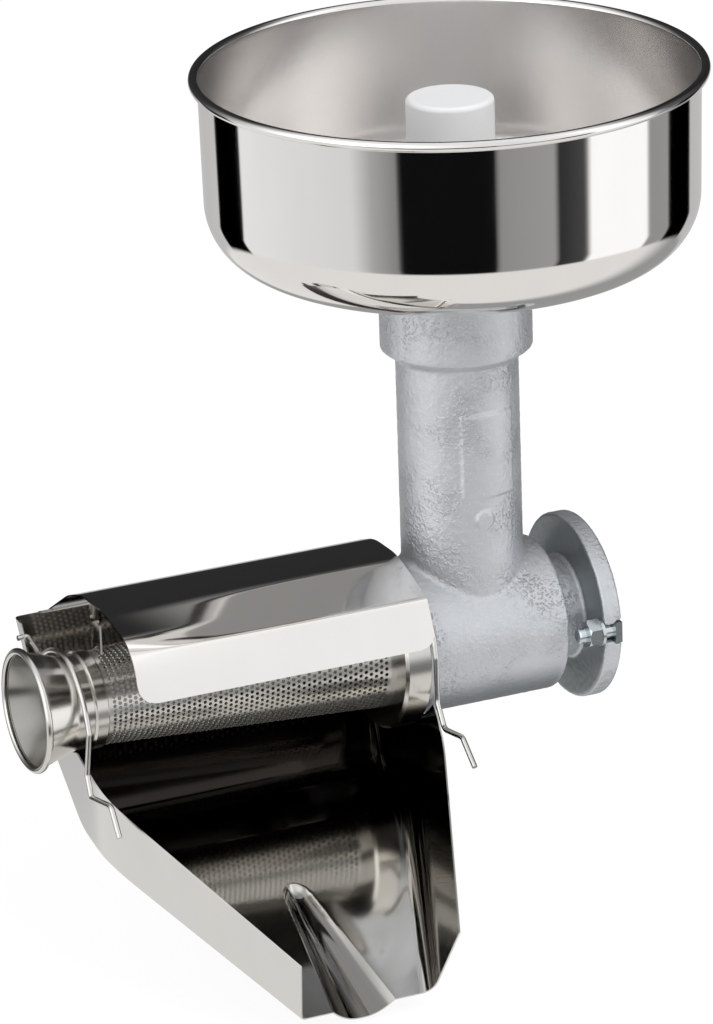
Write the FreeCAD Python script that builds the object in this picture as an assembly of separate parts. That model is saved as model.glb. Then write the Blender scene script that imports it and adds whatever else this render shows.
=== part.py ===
"""Tomato strainer attachment: cast body, spun hopper, perforated cone, auger and juice trough.

Frame, in millimetres: the origin is the centre of the drive flange's rear face, on the axis
of the barrel.  +X points out of that face, -X towards the outlet funnel, -Y towards the
pouring lip of the trough and +Z up.  Every node is written to parts/NODE.step.
"""
import FreeCAD, Part
import math
import os

V = FreeCAD.Vector
X_AXIS = V(1, 0, 0)
Y_AXIS = V(0, 1, 0)
Z_AXIS = V(0, 0, 1)

# ---- clearances -----------------------------------------------------------------------
SLIP = 0.3              # between pieces of different bodies that only lie against each other
RUN = 0.05              # radial clearance of a shaft in its bush, or a pin in its hole
SEAT = 0.05             # radial clearance of a piece pressed or welded in its seat
CUT = 1.0               # how far a cutting tool runs past the face it cuts
JOIN = 1e-6             # points nearer than this are the same

# ---- drive flange and boss, at the rear of the casting --------------------------------
FLANGE_R = 48.0
FLANGE_T = 10.0
FLANGE_CHAMFER = 1.2
PILOT_R = 22.0          # register that centres the drive unit
PILOT_DEPTH = 6.0
RECESS_R = 16.0         # inner recess for the thrust washer and circlip
RECESS_DEPTH = 12.0
BOSS_R = 26.0
BOSS_LEN = 15.0

# ---- barrel ---------------------------------------------------------------------------
BARREL_R = 40.0
BARREL_BORE_R = 31.5
BARREL_LEN = 89.5
BARREL_EDGE = 2.5       # rounding of the barrel's rear edge
REAR_WALL = 11.0

# ---- neck and hopper collar of the casting --------------------------------------------
NECK_X = -66.0
NECK_R = 31.0
NECK_BORE_R = 24.0
NECK_FILLET = 3.5
COLLAR_R = 38.4
COLLAR_BOTTOM_Z = 151.0
COLLAR_TOP_Z = 185.0
COLLAR_SLOPE = 5.0      # height of the cone under the collar
COLLAR_EDGE = 1.0
SEAT_DEPTH = 33.0       # depth of the hopper spout's seat in the collar
PLATE_Z = (79.0, 122.0)     # raised blank plate on the neck
PLATE_ANGLE = -85.0         # its middle, from +X towards +Y
PLATE_WIDTH = 29.0
PLATE_PROUD = 1.0
PIP_Z = 67.0                # small round casting mark under the plate
PIP_ANGLE = -92.0
PIP_R = 4.6

# ---- hopper ---------------------------------------------------------------------------
STEEL = 0.8             # hopper, spout and strainer sheet
BOWL_R = 124.0
BOWL_FOOT_R = 122.6
BOWL_HEIGHT = 105.3     # from the floor's underside at the spout to the rim's middle
BOWL_GAP = 2.0          # from the collar's top to the floor's underside at the spout
BOWL_FLOOR_SLOPE = 9.0  # degrees, falling to the spout
BOWL_CORNER_R = 33.0
BEAD_R = 2.6            # rolled rim
SPOUT_R = 26.0

# ---- plunger --------------------------------------------------------------------------
PLUNGER_R = 22.0
PLUNGER_DROP = 12.8     # its top, below the hopper's rim
PLUNGER_GAP = 6.5       # its bottom, above the auger's chamber
PLUNGER_EDGE = 2.5
STOP_R = 29.0
STOP_T = 5.0

# ---- strainer -------------------------------------------------------------------------
RING_WALL = 4.0         # collar that holds the strainer on the barrel
RING_LAP = 10.5         # how far it laps over the barrel
RING_PLATE_T = 2.0
RING_EDGE = 0.8
RING_SHOULDER = 1.5
GASKET_T = 1.7
GASKET_WIDTH = 7.0
CONE_BIG_R = 32.5
CONE_SMALL_R = 23.5
CONE_START = 5.5        # straight lip from the barrel's front to the cone
CONE_LEN = 151.0
CONE_LIP = 4.0          # straight lip at the cone's small end
PIN_R = 2.5             # bayonet pins
PIN_PROUD = 2.0
PIN_WALL = 2.0          # metal left between a pin's hole and the bore
PIN_BACK = 4.5          # from the barrel's front to the pins
LOCK_SWEEP = 40.0       # degrees of turn between a groove's entry and its stop
LOCK_REST = 4.0         # degrees from the pin to the stop
END_RING_LEN = (2.5, 1.0)   # past the cone's lip in front, and over the cone behind
END_RING_T = 1.3
END_RING_EDGE = 1.0

# ---- outlet funnel --------------------------------------------------------------------
NECK_LEN = 12.0
NECK_END_R = 24.4
FLARE_LEN = 16.0
FLARE_R = 29.6
FLARE_STEEL = 1.0
FUNNEL_RIM_R = 31.6
FUNNEL_BEAD_R = 1.8
FUNNEL_BEAD_IN = 1.3    # from the flare's end back to the middle of the rolled rim

# ---- auger and drive ------------------------------------------------------------------
TIP_GAP = 0.7           # flight to barrel and strainer
SPRING_SPACE = 14.0     # from the chamber's rear wall to the hub
HUB_REAR_R = 15.0
HUB_SHORT = 1.0         # hub's front end, short of the cone's small end
HUB_FRONT_R = 10.0
NOSE_R = 5.5
NOSE_LEN = (3.0, 1.5)
FLIGHT_SHORT = (3.0, 5.5)   # flight's ends, short of the hub's rear and of the cone's end
FLIGHT_T = 4.5
FLIGHT_ROOT_R = 7.0     # where the flight starts, inside the hub
FLIGHT_TURNS = 5.5
SHAFT_R = 9.0
SHAFT_PAST_CLIP = 2.5
STEM_LEN = 44.0         # length of the shaft inside the auger
STEM_R = 8.0
SOCKET_AF = 10.0        # hexagon drive socket in the shaft's rear end
SOCKET_DEPTH = 14.0
BUSH_R = 13.0
SEAL_R = 15.0
SEAL_LEN = 7.0
SEAL_LIP = 1.5
SEAL_GROOVE = 3.8
WASHER_T = 1.2
WASHER_SHORT = 1.0      # washer's rim, short of the recess it lies in
CLIP_T = 1.2
CLIP_GROOVE = 0.7
CLIP_R = 12.5
CLIP_GAP = 5.0          # opening of the circlip
SPRING_WIRE_R = 1.2
SPRING_R = 11.5
SPRING_TURNS = 3.0
SPRING_SIDES = 8        # the coil's wire, drawn as a bar of flat sides
DRIVE_PIN_IN = 22.0     # from the hub's rear face
DRIVE_PIN_R = 2.5
DRIVE_PIN_SHORT = 0.5

# ---- clamping bolts of the flange (M8) -------------------------------------------------
BOLT_R = 4.0
BOLT_INSET = 5.5        # from the flange's rim
BOLT_PROUD = 4.5        # past the nut
BOLT_CHAMFER = 0.7
BOLT_HEAD_AF = 11.0
BOLT_HEAD_T = 4.0
NUT_AF = 13.0
NUT_T = 6.8
NUT_CHAMFER = 0.9
FLAT_WASHER_R = 7.2
FLAT_WASHER_T = 1.6
SLOT_GAP = 0.5          # bolt to slot, each side

# ---- juice trough (bent sheet); points are (y, z) ---------------------------------------
SHEET = 0.8
BASIN_PAST_CONE = 15.5  # left end at the axis's height, past the cone's small end
BASIN_PAST_RING = 7.1   # right end at the axis's height, behind the strainer's collar
BASIN_LEAN = 0.166      # outward lean of the basin's ends, per mm of height
BASIN_SPREAD = 0.058    # how much wider the basin is per mm forward
BACK_TOP = (51.5, 29.0)
BACK_POINTS = [(50.5, 8.0), (47.0, -17.0), (30.5, -43.5), (9.5, -73.0)]
BACK_RADII = [30.0, 40.0, 60.0, 16.0]
BACK_CORNER_R = 6.0
TOP_FLANGE = (7.0, 2.1)     # flange folded forward along the rear top edge
TOP_FLANGE_BEND = 1.5
TOP_FLANGE_SHORT = 12.0     # the flange's ends, short of the walls, where the bails swing
FOLD = (-26.0, -80.0)   # where the basin's floor turns down to the lip
FOLD_R = 20.0
TOP_FOLD = (-44.0, -34.5)   # corner of a wall's top edge, where the walls start to narrow
LIP = (-146.0, -124.5)
LIP_SHIFT = 1.2         # lip's middle, from the basin's middle
LIP_HALF = 35.0         # half width of the lip at the floor
CORNER = (-163.5, -88.0)    # front top corner of the side walls
CORNER_HALF = 41.7
EAR = 9.0               # width of the ears that carry the bails
EAR_FOOT_Z = 6.0
NOTCH_DROP = {-1: 62.0, 1: 38.0}    # degrees below level where a notch meets the top edge
NOTCH_REAR_DROP = 35.0
GUTTER_SHIFT = -2.0     # its middle plane, from the lip's middle
GUTTER_START_Y = -62.0
GUTTER_HALF = 15.0      # half width at the lip
GUTTER_DEPTH = 8.5

# ---- bails (spring wire) ---------------------------------------------------------------
WIRE_R = 1.4
BAIL_PIVOT = (46.5, 19.5)
BAIL_PIN_OUT = 3.0      # how far the bail's pivot end stands out of its ear
BAIL_PIN_BEND = 1.6
BAIL_REAR = {-1: (3.4, 15.2, 6.0), 1: (0.0, 18.0, 4.0)}    # past the arch, height, bend
BAIL_CHEEK = {-1: (5.6, -5.0), 1: (2.4, 4.0)}   # front cheek: past the arch, and height
LEFT_HOOK = [(13.0, 8.0), (8.7, -2.5), (-17.0, 2.5), (-26.5, -10.5)]    # from TOP_FOLD
RIGHT_HOOK = [(-0.3, 15.0), (-8.0, 3.2), (-29.0, 6.5), (-42.7, -4.5)]   # from TOP_FOLD
HOOK_RADII = {-1: [4.0, 1.7, 3.0], 1: [7.0, 4.5, 4.0]}

# ---- splash cover (bent sheet); points are (y, z) ---------------------------------------
COVER_SHORT_CONE = 2.5  # its left end, short of the cone's small end
COVER_PAST_RING = 5.0   # its right end, in front of the collar's rear face
COVER_OVER_RING = 6.0   # its top, above the strainer's collar
COVER_REAR = [(57.0, -23.1), (30.0, -6.6), (12.0, 0.0)]     # heights from its top
COVER_FRONT = [(-15.0, 0.6), (-49.5, -11.0), (-60.5, -33.0)]
COVER_RADII = [40.0, 45.0, 45.0, 3.0]
FLAP_CORNER_R = 9.0
STAY_W = 12.0
STAY_T = 1.0
STAY_IN = 2.5           # from the cover's end to a stay's middle

# ---- worked out from the above ----------------------------------------------------------
BARREL_REAR_X = -FLANGE_T - BOSS_LEN
BARREL_FRONT_X = BARREL_REAR_X - BARREL_LEN
CHAMBER_X = BARREL_REAR_X - REAR_WALL
SEAL_X = CHAMBER_X + SEAL_LEN
BUSH_X = -RECESS_DEPTH
WASHER_X = BUSH_X + SLIP
RING_R = BARREL_R + RING_WALL
COVER_TOP_Z = RING_R + COVER_OVER_RING
CLIP_X = WASHER_X + WASHER_T + SEAT + CLIP_T        # rear face of the circlip
SHAFT_REAR_X = CLIP_X + SHAFT_PAST_CLIP
PLATE_FRONT_X = BARREL_FRONT_X - GASKET_T - RING_PLATE_T
RING_REAR_X = BARREL_FRONT_X + RING_LAP
BAYONET_X = BARREL_FRONT_X + PIN_BACK
PIN_DEPTH = BARREL_R - BARREL_BORE_R - PIN_WALL
CONE_BIG_X = BARREL_FRONT_X - CONE_START
CONE_SMALL_X = CONE_BIG_X - CONE_LEN
CONE_SLOPE = (CONE_BIG_R - CONE_SMALL_R) / CONE_LEN
LIP_END_X = CONE_SMALL_X - CONE_LIP
NECK_END_X = LIP_END_X - NECK_LEN
FLARE_X = NECK_END_X - FLARE_LEN
HUB_REAR_X = CHAMBER_X - SPRING_SPACE
HUB_FRONT_X = CONE_SMALL_X + HUB_SHORT
HUB_SLOPE = (HUB_REAR_R - HUB_FRONT_R) / (HUB_REAR_X - HUB_FRONT_X)
DRIVE_PIN_X = HUB_REAR_X - DRIVE_PIN_IN
SEAT_Z = COLLAR_TOP_Z - SEAT_DEPTH
BOWL_FLOOR_Z = COLLAR_TOP_Z + BOWL_GAP
BOWL_RIM_Z = BOWL_FLOOR_Z + BOWL_HEIGHT
BOLT_Y = FLANGE_R - BOLT_INSET
NUT_REAR_X = -FLANGE_T - FLAT_WASHER_T
NUT_FRONT_X = NUT_REAR_X - NUT_T
BASIN_LEFT_X = CONE_SMALL_X - BASIN_PAST_CONE
BASIN_RIGHT_X = RING_REAR_X + BASIN_PAST_RING
TROUGH_X = (BASIN_LEFT_X + BASIN_RIGHT_X) / 2       # basin's middle plane
BASIN_HALF = (BASIN_RIGHT_X - BASIN_LEFT_X) / 2     # half width at the axis's height
LIP_X = TROUGH_X + LIP_SHIFT
BEYOND = BASIN_HALF + BAIL_PIVOT[0]                 # half length of a block wider than the trough
COVER_X = (CONE_SMALL_X + COVER_SHORT_CONE, RING_REAR_X - COVER_PAST_RING)


def floor_height(radius):
    """Height of the hopper floor's underside at a radius."""
    return BOWL_FLOOR_Z + (radius - SPOUT_R) * math.tan(math.radians(BOWL_FLOOR_SLOPE))


def face_of(points):
    """Flat face inside a closed outline of points."""
    return Part.Face(Part.makePolygon(points + [points[0]]))


def turned(profile):
    """Solid turned about the barrel's axis from (x, radius) points."""
    return face_of([V(x, r, 0) for x, r in profile]).revolve(V(0, 0, 0), X_AXIS, 360)


def spun(profile):
    """Solid turned about the neck's axis from (radius, z) points."""
    return face_of([V(NECK_X + r, 0, z) for r, z in profile]).revolve(V(NECK_X, 0, 0), Z_AXIS, 360)


def rod(radius, x_from, x_to, y=0.0, z=0.0):
    """Round bar along the barrel's axis."""
    return Part.makeCylinder(radius, abs(x_to - x_from), V(min(x_from, x_to), y, z), X_AXIS)


def tube(outer, inner, x_from, x_to):
    """Round tube on the barrel's axis."""
    return rod(outer, x_from, x_to).cut(rod(inner, x_from, x_to))


def box(x, y, z):
    """Box between pairs of limits."""
    return Part.makeBox(x[1] - x[0], y[1] - y[0], z[1] - z[0], V(x[0], y[0], z[0]))


def prism(flats, length, x_from, y=0.0, z=0.0, sides=6):
    """Bar of a regular polygon's section along X, given its width across flats."""
    corner = flats / 2 / math.cos(math.pi / sides)
    start = math.pi / sides
    turns = [start + 2 * math.pi * i / sides for i in range(sides)]
    points = [V(x_from, y + corner * math.cos(a), z + corner * math.sin(a)) for a in turns]
    return face_of(points).extrude(V(length, 0, 0))


def bent(points, radii):
    """Open wire through points, each inner corner rounded to its radius, or as far as it can be."""
    edges = []
    start = points[0]
    for last, corner, nxt, radius in zip(points, points[1:-1], points[2:], radii):
        back = (last - corner).normalize()
        ahead = (nxt - corner).normalize()
        turn = math.pi - back.getAngle(ahead)
        if radius is None:
            radius = min(last.distanceToPoint(corner), nxt.distanceToPoint(corner)) / 2 / math.tan(turn / 2)
        reach = radius * math.tan(turn / 2)
        first = corner + back * reach
        final = corner + ahead * reach
        middle = (back + ahead).normalize() * (radius / math.cos(turn / 2) - radius) + corner
        if not start.isEqual(first, JOIN):
            edges.append(Part.makeLine(start, first))
        edges.append(Part.Arc(first, middle, final).toShape())
        start = final
    edges.append(Part.makeLine(start, points[-1]))
    return Part.Wire(edges)


def swept(path, radius):
    """Round wire of a radius along a path."""
    edge = path.Edges[0]
    start = edge.valueAt(edge.FirstParameter)
    if not start.isEqual(path.Vertexes[0].Point, JOIN):
        start = edge.valueAt(edge.LastParameter)
    ahead = edge.tangentAt(edge.FirstParameter)
    section = Part.Wire(Part.makeCircle(radius, start, ahead))
    return path.makePipeShell([section], True, False)


def sheet_along_x(points, radii, x_from, x_to, thickness):
    """Bent sheet from a (y, z) outline of its outer face; the metal lies on its left side."""
    path = bent([V(x_from, y, z) for y, z in points], radii)
    face = path.makeOffset2D(thickness, join=2, fill=True, openResult=True)
    return face.extrude(V(x_to - x_from, 0, 0))


def body_casting():
    """Casting: flange, boss, barrel, neck and hopper collar in one piece."""
    flange = turned([(0, 0), (0, FLANGE_R - FLANGE_CHAMFER), (-FLANGE_CHAMFER, FLANGE_R),
                     (-FLANGE_T + FLANGE_CHAMFER, FLANGE_R),
                     (-FLANGE_T, FLANGE_R - FLANGE_CHAMFER), (-FLANGE_T, 0)])
    boss = rod(BOSS_R, BARREL_REAR_X, -FLANGE_T)
    barrel = rod(BARREL_R, BARREL_FRONT_X, BARREL_REAR_X)
    barrel = barrel.makeFillet(BARREL_EDGE, [e for e in barrel.Edges
                                             if abs(e.CenterOfMass.x - BARREL_REAR_X) < 0.01])
    neck = spun([(0, 0), (NECK_R, 0), (NECK_R, COLLAR_BOTTOM_Z), (0, COLLAR_BOTTOM_Z)])
    shape = barrel.fuse(neck).removeSplitter()
    joint = [e for e in shape.Edges
             if e.BoundBox.ZMin > CUT and e.BoundBox.ZMax < BARREL_R + CUT
             and e.BoundBox.YLength > NECK_R and e.BoundBox.XLength > NECK_R]
    shape = shape.makeFillet(NECK_FILLET, joint)
    collar = spun([(0, COLLAR_BOTTOM_Z - COLLAR_SLOPE), (NECK_R, COLLAR_BOTTOM_Z - COLLAR_SLOPE),
                   (COLLAR_R, COLLAR_BOTTOM_Z), (COLLAR_R, COLLAR_TOP_Z - COLLAR_EDGE),
                   (COLLAR_R - COLLAR_EDGE, COLLAR_TOP_Z), (0, COLLAR_TOP_Z)])
    shape = shape.fuse([collar, boss, flange, blank_plate(), casting_pip()])
    shape = shape.cut(rod(BARREL_BORE_R, BARREL_FRONT_X - CUT, CHAMBER_X))
    shape = shape.cut(spun([(0, 0), (NECK_BORE_R, 0), (NECK_BORE_R, SEAT_Z),
                            (SPOUT_R + SLIP, SEAT_Z), (SPOUT_R + SLIP, COLLAR_TOP_Z + CUT),
                            (0, COLLAR_TOP_Z + CUT)]))
    shape = shape.cut(rod(SEAL_R + SEAT, CHAMBER_X - CUT, SEAL_X))
    shape = shape.cut(rod(BUSH_R + SEAT, SEAL_X - CUT, BUSH_X + CUT))
    shape = shape.cut(rod(RECESS_R, -RECESS_DEPTH, CUT))
    shape = shape.cut(rod(PILOT_R, -PILOT_DEPTH, CUT))
    for side in (-1, 1):
        shape = shape.cut(flange_slot(side))
        shape = shape.cut(bayonet_hole(side))
    return shape.removeSplitter()


def blank_plate():
    """Raised blank plate on the front of the neck."""
    low, high = PLATE_Z
    band = spun([(NECK_R - PLATE_PROUD, low), (NECK_R + PLATE_PROUD, low),
                 (NECK_R + PLATE_PROUD, high), (NECK_R - PLATE_PROUD, high)])
    keep = Part.makeBox(2 * NECK_R, PLATE_WIDTH, high - low, V(0, -PLATE_WIDTH / 2, low))
    keep.rotate(V(0, 0, 0), Z_AXIS, PLATE_ANGLE)
    keep.translate(V(NECK_X, 0, 0))
    return band.common(keep)


def casting_pip():
    """Low round casting mark under the plate."""
    pip = Part.makeCylinder(PIP_R, NECK_R + PLATE_PROUD, V(0, 0, 0), X_AXIS)
    pip.rotate(V(0, 0, 0), Z_AXIS, PIP_ANGLE)
    pip.translate(V(NECK_X, 0, PIP_Z))
    return pip


def flange_slot(side):
    """Open-ended slot of the flange, with the recess for a bolt head at its rear."""
    half = BOLT_R + SLOT_GAP
    slot = box((-FLANGE_T - CUT, CUT), sorted((side * BOLT_Y, side * (FLANGE_R + CUT))), (-half, half))
    slot = slot.fuse(rod(half, -FLANGE_T - CUT, CUT, BOLT_Y * side))
    head = BOLT_HEAD_AF / 2 + SLOT_GAP
    recess = sorted((side * (BOLT_Y - head), side * (FLANGE_R + CUT)))
    return slot.fuse(box((-BOLT_HEAD_T, CUT), recess, (-head, head)))


def bayonet_hole(side):
    """Blind hole in the barrel for a bayonet pin."""
    start = V(BAYONET_X, side * (BARREL_R - PIN_DEPTH), 0)
    return Part.makeCylinder(PIN_R + SEAT, BARREL_R, start, V(0, side, 0))


def bayonet_pins():
    """Two pins pressed in the barrel, which the strainer's collar locks on."""
    pins = []
    for side in (-1, 1):
        start = V(BAYONET_X, side * (BARREL_R - PIN_DEPTH), 0)
        pins.append(Part.makeCylinder(PIN_R, PIN_DEPTH + PIN_PROUD, start, V(0, side, 0)))
    return Part.makeCompound(pins)


def hopper_bowl():
    """Spun bowl with a rolled rim and a floor that falls to its hole."""
    hole_r = SPOUT_R + SEAT + STEEL * math.sin(math.radians(BOWL_FLOOR_SLOPE))
    foot = V(NECK_X + BOWL_FOOT_R, 0, floor_height(BOWL_FOOT_R))
    path = bent([V(NECK_X + hole_r, 0, floor_height(hole_r)), foot,
                 V(NECK_X + BOWL_R, 0, BOWL_RIM_Z)], [BOWL_CORNER_R])
    face = path.makeOffset2D(STEEL, join=2, fill=True, openResult=True)
    if face.BoundBox.XMax > NECK_X + BOWL_R + STEEL / 2:
        face = path.makeOffset2D(-STEEL, join=2, fill=True, openResult=True)
    wall = face.revolve(V(NECK_X, 0, 0), Z_AXIS, 360)
    centre = V(NECK_X, 0, BOWL_RIM_Z)
    ring = BOWL_R - STEEL + BEAD_R
    bead = Part.makeTorus(ring, BEAD_R, centre, Z_AXIS)
    hollow = Part.makeTorus(ring, BEAD_R - STEEL, centre, Z_AXIS)
    return wall.cut(bead).fuse(bead).cut(hollow).removeSplitter()


def hopper_spout():
    """Tube welded in the bowl's hole, which stands in the collar."""
    top = floor_height(SPOUT_R) + STEEL
    bottom = SEAT_Z + SLIP
    return spun([(SPOUT_R - STEEL, bottom), (SPOUT_R, bottom),
                 (SPOUT_R, top), (SPOUT_R - STEEL, top)])


def plunger():
    """Plastic plunger with the stop that rests on the hopper's floor."""
    stop_z = floor_height(STOP_R) + STEEL / math.cos(math.radians(BOWL_FLOOR_SLOPE)) + SLIP
    bottom = BARREL_BORE_R + PLUNGER_GAP
    top = BOWL_RIM_Z - PLUNGER_DROP
    stem = spun([(0, bottom), (PLUNGER_R, bottom), (PLUNGER_R, top), (0, top)])
    stem = stem.makeFillet(PLUNGER_EDGE, [e for e in stem.Edges
                                          if e.Length > PLUNGER_R * math.pi
                                          and e.BoundBox.ZLength < SEAT])
    stop = spun([(0, stop_z), (STOP_R, stop_z), (STOP_R, stop_z + STOP_T), (0, stop_z + STOP_T)])
    return stem.fuse(stop).removeSplitter()


def strainer_collar():
    """Turned ring that carries the cone and locks on the barrel's pins."""
    inner = BARREL_R + SEAT
    seat_x = PLATE_FRONT_X + RING_PLATE_T
    ring = turned([(RING_REAR_X, inner), (RING_REAR_X, RING_R - RING_EDGE),
                   (RING_REAR_X - RING_EDGE, RING_R), (PLATE_FRONT_X + RING_SHOULDER, RING_R),
                   (PLATE_FRONT_X, RING_R - RING_SHOULDER), (PLATE_FRONT_X, CONE_BIG_R + SEAT),
                   (seat_x, CONE_BIG_R + SEAT), (seat_x, inner)])
    groove_r = BARREL_R + PIN_PROUD + SLIP
    half = PIN_R + SLIP
    for side in (0, 180):
        lock = tube(groove_r, inner - CUT, BAYONET_X - half, BAYONET_X + half)
        ends = (BAYONET_X - half, BAYONET_X + half)
        corners = [V(ends[0], 0, 0), V(ends[0], RING_R, 0), V(ends[1], RING_R, 0), V(ends[1], 0, 0)]
        sector = face_of(corners).revolve(V(0, 0, 0), X_AXIS, LOCK_SWEEP)
        sector.rotate(V(0, 0, 0), X_AXIS, side - LOCK_REST)
        entry = Part.makeBox(RING_REAR_X - BAYONET_X + CUT, groove_r, 2 * half,
                             V(BAYONET_X, 0, -half))
        entry = entry.common(tube(groove_r, inner - CUT, BAYONET_X - CUT, RING_REAR_X + 2 * CUT))
        entry.rotate(V(0, 0, 0), X_AXIS, side + LOCK_SWEEP - 2 * LOCK_REST)
        ring = ring.cut(lock.common(sector)).cut(entry)
    return ring.removeSplitter()


def strainer_gasket():
    """Flat ring that seals the collar's plate on the barrel's end."""
    outer = BARREL_R - SLIP
    return tube(outer, outer - GASKET_WIDTH, BARREL_FRONT_X - GASKET_T, BARREL_FRONT_X)


def strainer_screen():
    """Conical screen as a plain shell, with a straight lip at each end."""
    big_x = BARREL_FRONT_X - GASKET_T
    return turned([(big_x, CONE_BIG_R), (CONE_BIG_X, CONE_BIG_R), (CONE_SMALL_X, CONE_SMALL_R),
                   (LIP_END_X, CONE_SMALL_R), (LIP_END_X, CONE_SMALL_R - STEEL),
                   (CONE_SMALL_X, CONE_SMALL_R - STEEL), (CONE_BIG_X, CONE_BIG_R - STEEL),
                   (big_x, CONE_BIG_R - STEEL)])


def strainer_end_ring():
    """Band that joins the screen's small end to the outlet funnel."""
    front = LIP_END_X - END_RING_LEN[0]
    rear = CONE_SMALL_X + END_RING_LEN[1]
    inner = CONE_SMALL_R + SEAT
    past = rear + CUT
    bore = turned([(front - CUT, 0), (front - CUT, inner), (CONE_SMALL_X, inner),
                   (past, inner + (past - CONE_SMALL_X) * CONE_SLOPE), (past, 0)])
    outer = inner + END_RING_T
    low = outer - END_RING_EDGE
    band = turned([(front, 0), (front, low), (front + END_RING_EDGE, outer),
                   (rear - END_RING_EDGE, outer), (rear, low), (rear, 0)])
    return band.cut(bore)


def outlet_funnel():
    """Outlet neck with a flared mouth and a rolled rim, open right through."""
    start_x = LIP_END_X - SEAT
    ring_x = LIP_END_X - END_RING_LEN[0]
    wall = turned([(start_x, CONE_SMALL_R), (ring_x, CONE_SMALL_R), (NECK_END_X, NECK_END_R),
                   (FLARE_X, FLARE_R), (FLARE_X, FLARE_R - FLARE_STEEL),
                   (NECK_END_X, NECK_END_R - STEEL), (ring_x, CONE_SMALL_R - STEEL),
                   (start_x, CONE_SMALL_R - STEEL)])
    ring = FUNNEL_RIM_R - FUNNEL_BEAD_R
    bead = Part.makeTorus(ring, FUNNEL_BEAD_R, V(FLARE_X - FUNNEL_BEAD_IN, 0, 0), X_AXIS)
    return wall.fuse(bead).removeSplitter()


def tip_radius(x):
    """Radius of the auger's envelope at a place along the axis."""
    inside = min(BARREL_BORE_R, CONE_BIG_R - STEEL)
    if x < CONE_BIG_X:
        inside = min(inside, CONE_BIG_R - STEEL - (CONE_BIG_X - x) * CONE_SLOPE)
    return inside - TIP_GAP


def auger():
    """Auger: a tapered hub with a helical flight inside the barrel and the cone."""
    nose_x = HUB_FRONT_X - NOSE_LEN[0]
    hub = turned([(HUB_REAR_X, 0), (HUB_REAR_X, HUB_REAR_R), (HUB_FRONT_X, HUB_FRONT_R),
                  (nose_x, NOSE_R), (nose_x - NOSE_LEN[1], 0)])
    rear = HUB_REAR_X - FLIGHT_SHORT[0]
    front = CONE_SMALL_X + FLIGHT_SHORT[1]
    length = rear - front
    reach = max(BARREL_BORE_R, CONE_BIG_R) + CUT
    spine = Part.makeHelix(length / FLIGHT_TURNS, length, (reach + FLIGHT_ROOT_R) / 2)
    half = FLIGHT_T / 2
    section = Part.makePolygon([V(FLIGHT_ROOT_R, 0, -half), V(reach, 0, -half), V(reach, 0, half),
                                V(FLIGHT_ROOT_R, 0, half), V(FLIGHT_ROOT_R, 0, -half)])
    flight = Part.Wire(spine.Edges).makePipeShell([section], True, True)
    flight.rotate(V(0, 0, 0), Y_AXIS, -90)
    flight.translate(V(rear, 0, 0))
    rear += half + CUT
    front -= half
    envelope = turned([(rear, 0), (rear, tip_radius(rear)), (CONE_BIG_X, tip_radius(CONE_BIG_X)),
                       (front, tip_radius(front)), (front, 0)])
    shape = hub.fuse(flight.common(envelope))
    shape = shape.cut(rod(STEM_R + SEAT, HUB_REAR_X - STEM_LEN - SEAT, HUB_REAR_X + CUT))
    pin = Part.makeCylinder(DRIVE_PIN_R + SEAT, 2 * HUB_REAR_R, V(DRIVE_PIN_X, 0, -HUB_REAR_R))
    return shape.cut(pin).removeSplitter()


def drive_shaft():
    """Shaft that turns in the rear bush, with a hexagon socket for the drive."""
    shaft = rod(SHAFT_R, HUB_REAR_X, SHAFT_REAR_X)
    shaft = shaft.fuse(rod(STEM_R, HUB_REAR_X - STEM_LEN, HUB_REAR_X))
    shaft = shaft.cut(prism(SOCKET_AF, SOCKET_DEPTH + CUT, SHAFT_REAR_X - SOCKET_DEPTH))
    root = SHAFT_R - CLIP_GROOVE
    shaft = shaft.cut(tube(SHAFT_R + CUT, root, CLIP_X - CLIP_T - SEAT, CLIP_X + SEAT))
    hole = Part.makeCylinder(DRIVE_PIN_R + SEAT, 2 * SHAFT_R, V(DRIVE_PIN_X, 0, -SHAFT_R))
    return shaft.cut(hole)


def drive_pin():
    """Cross pin through the auger's hub and the shaft."""
    half = HUB_REAR_R - DRIVE_PIN_IN * HUB_SLOPE - DRIVE_PIN_SHORT
    return Part.makeCylinder(DRIVE_PIN_R, 2 * half, V(DRIVE_PIN_X, 0, -half))


def rear_bush():
    """Plain bronze bush of the shaft."""
    return tube(BUSH_R, SHAFT_R + RUN, SEAL_X, BUSH_X)


def shaft_seal():
    """Lip seal between the chamber and the bush."""
    ring = tube(SEAL_R, SHAFT_R + RUN, CHAMBER_X, SEAL_X - SEAT)
    groove = tube(SEAL_R - SEAL_LIP, SHAFT_R + SEAL_LIP, CHAMBER_X - CUT, CHAMBER_X + SEAL_GROOVE)
    return ring.cut(groove)


def thrust_washer():
    """Washer between the bush and the circlip."""
    return tube(RECESS_R - WASHER_SHORT, SHAFT_R + SEAT, WASHER_X, WASHER_X + WASHER_T)


def shaft_circlip():
    """Open circlip in the shaft's groove."""
    ring = tube(CLIP_R, SHAFT_R - CLIP_GROOVE + SEAT, CLIP_X - CLIP_T, CLIP_X)
    gap = box((CLIP_X - CLIP_T - CUT, CLIP_X + CUT), (-CLIP_GAP / 2, CLIP_GAP / 2), (0, CLIP_R + CUT))
    return ring.cut(gap)


def spring_seat():
    """Washer that the thrust spring stands on, in front of the seal."""
    rear = CHAMBER_X - SLIP
    return tube(SEAL_R - WASHER_SHORT, SHAFT_R + SEAT, rear - WASHER_T, rear)


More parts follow.
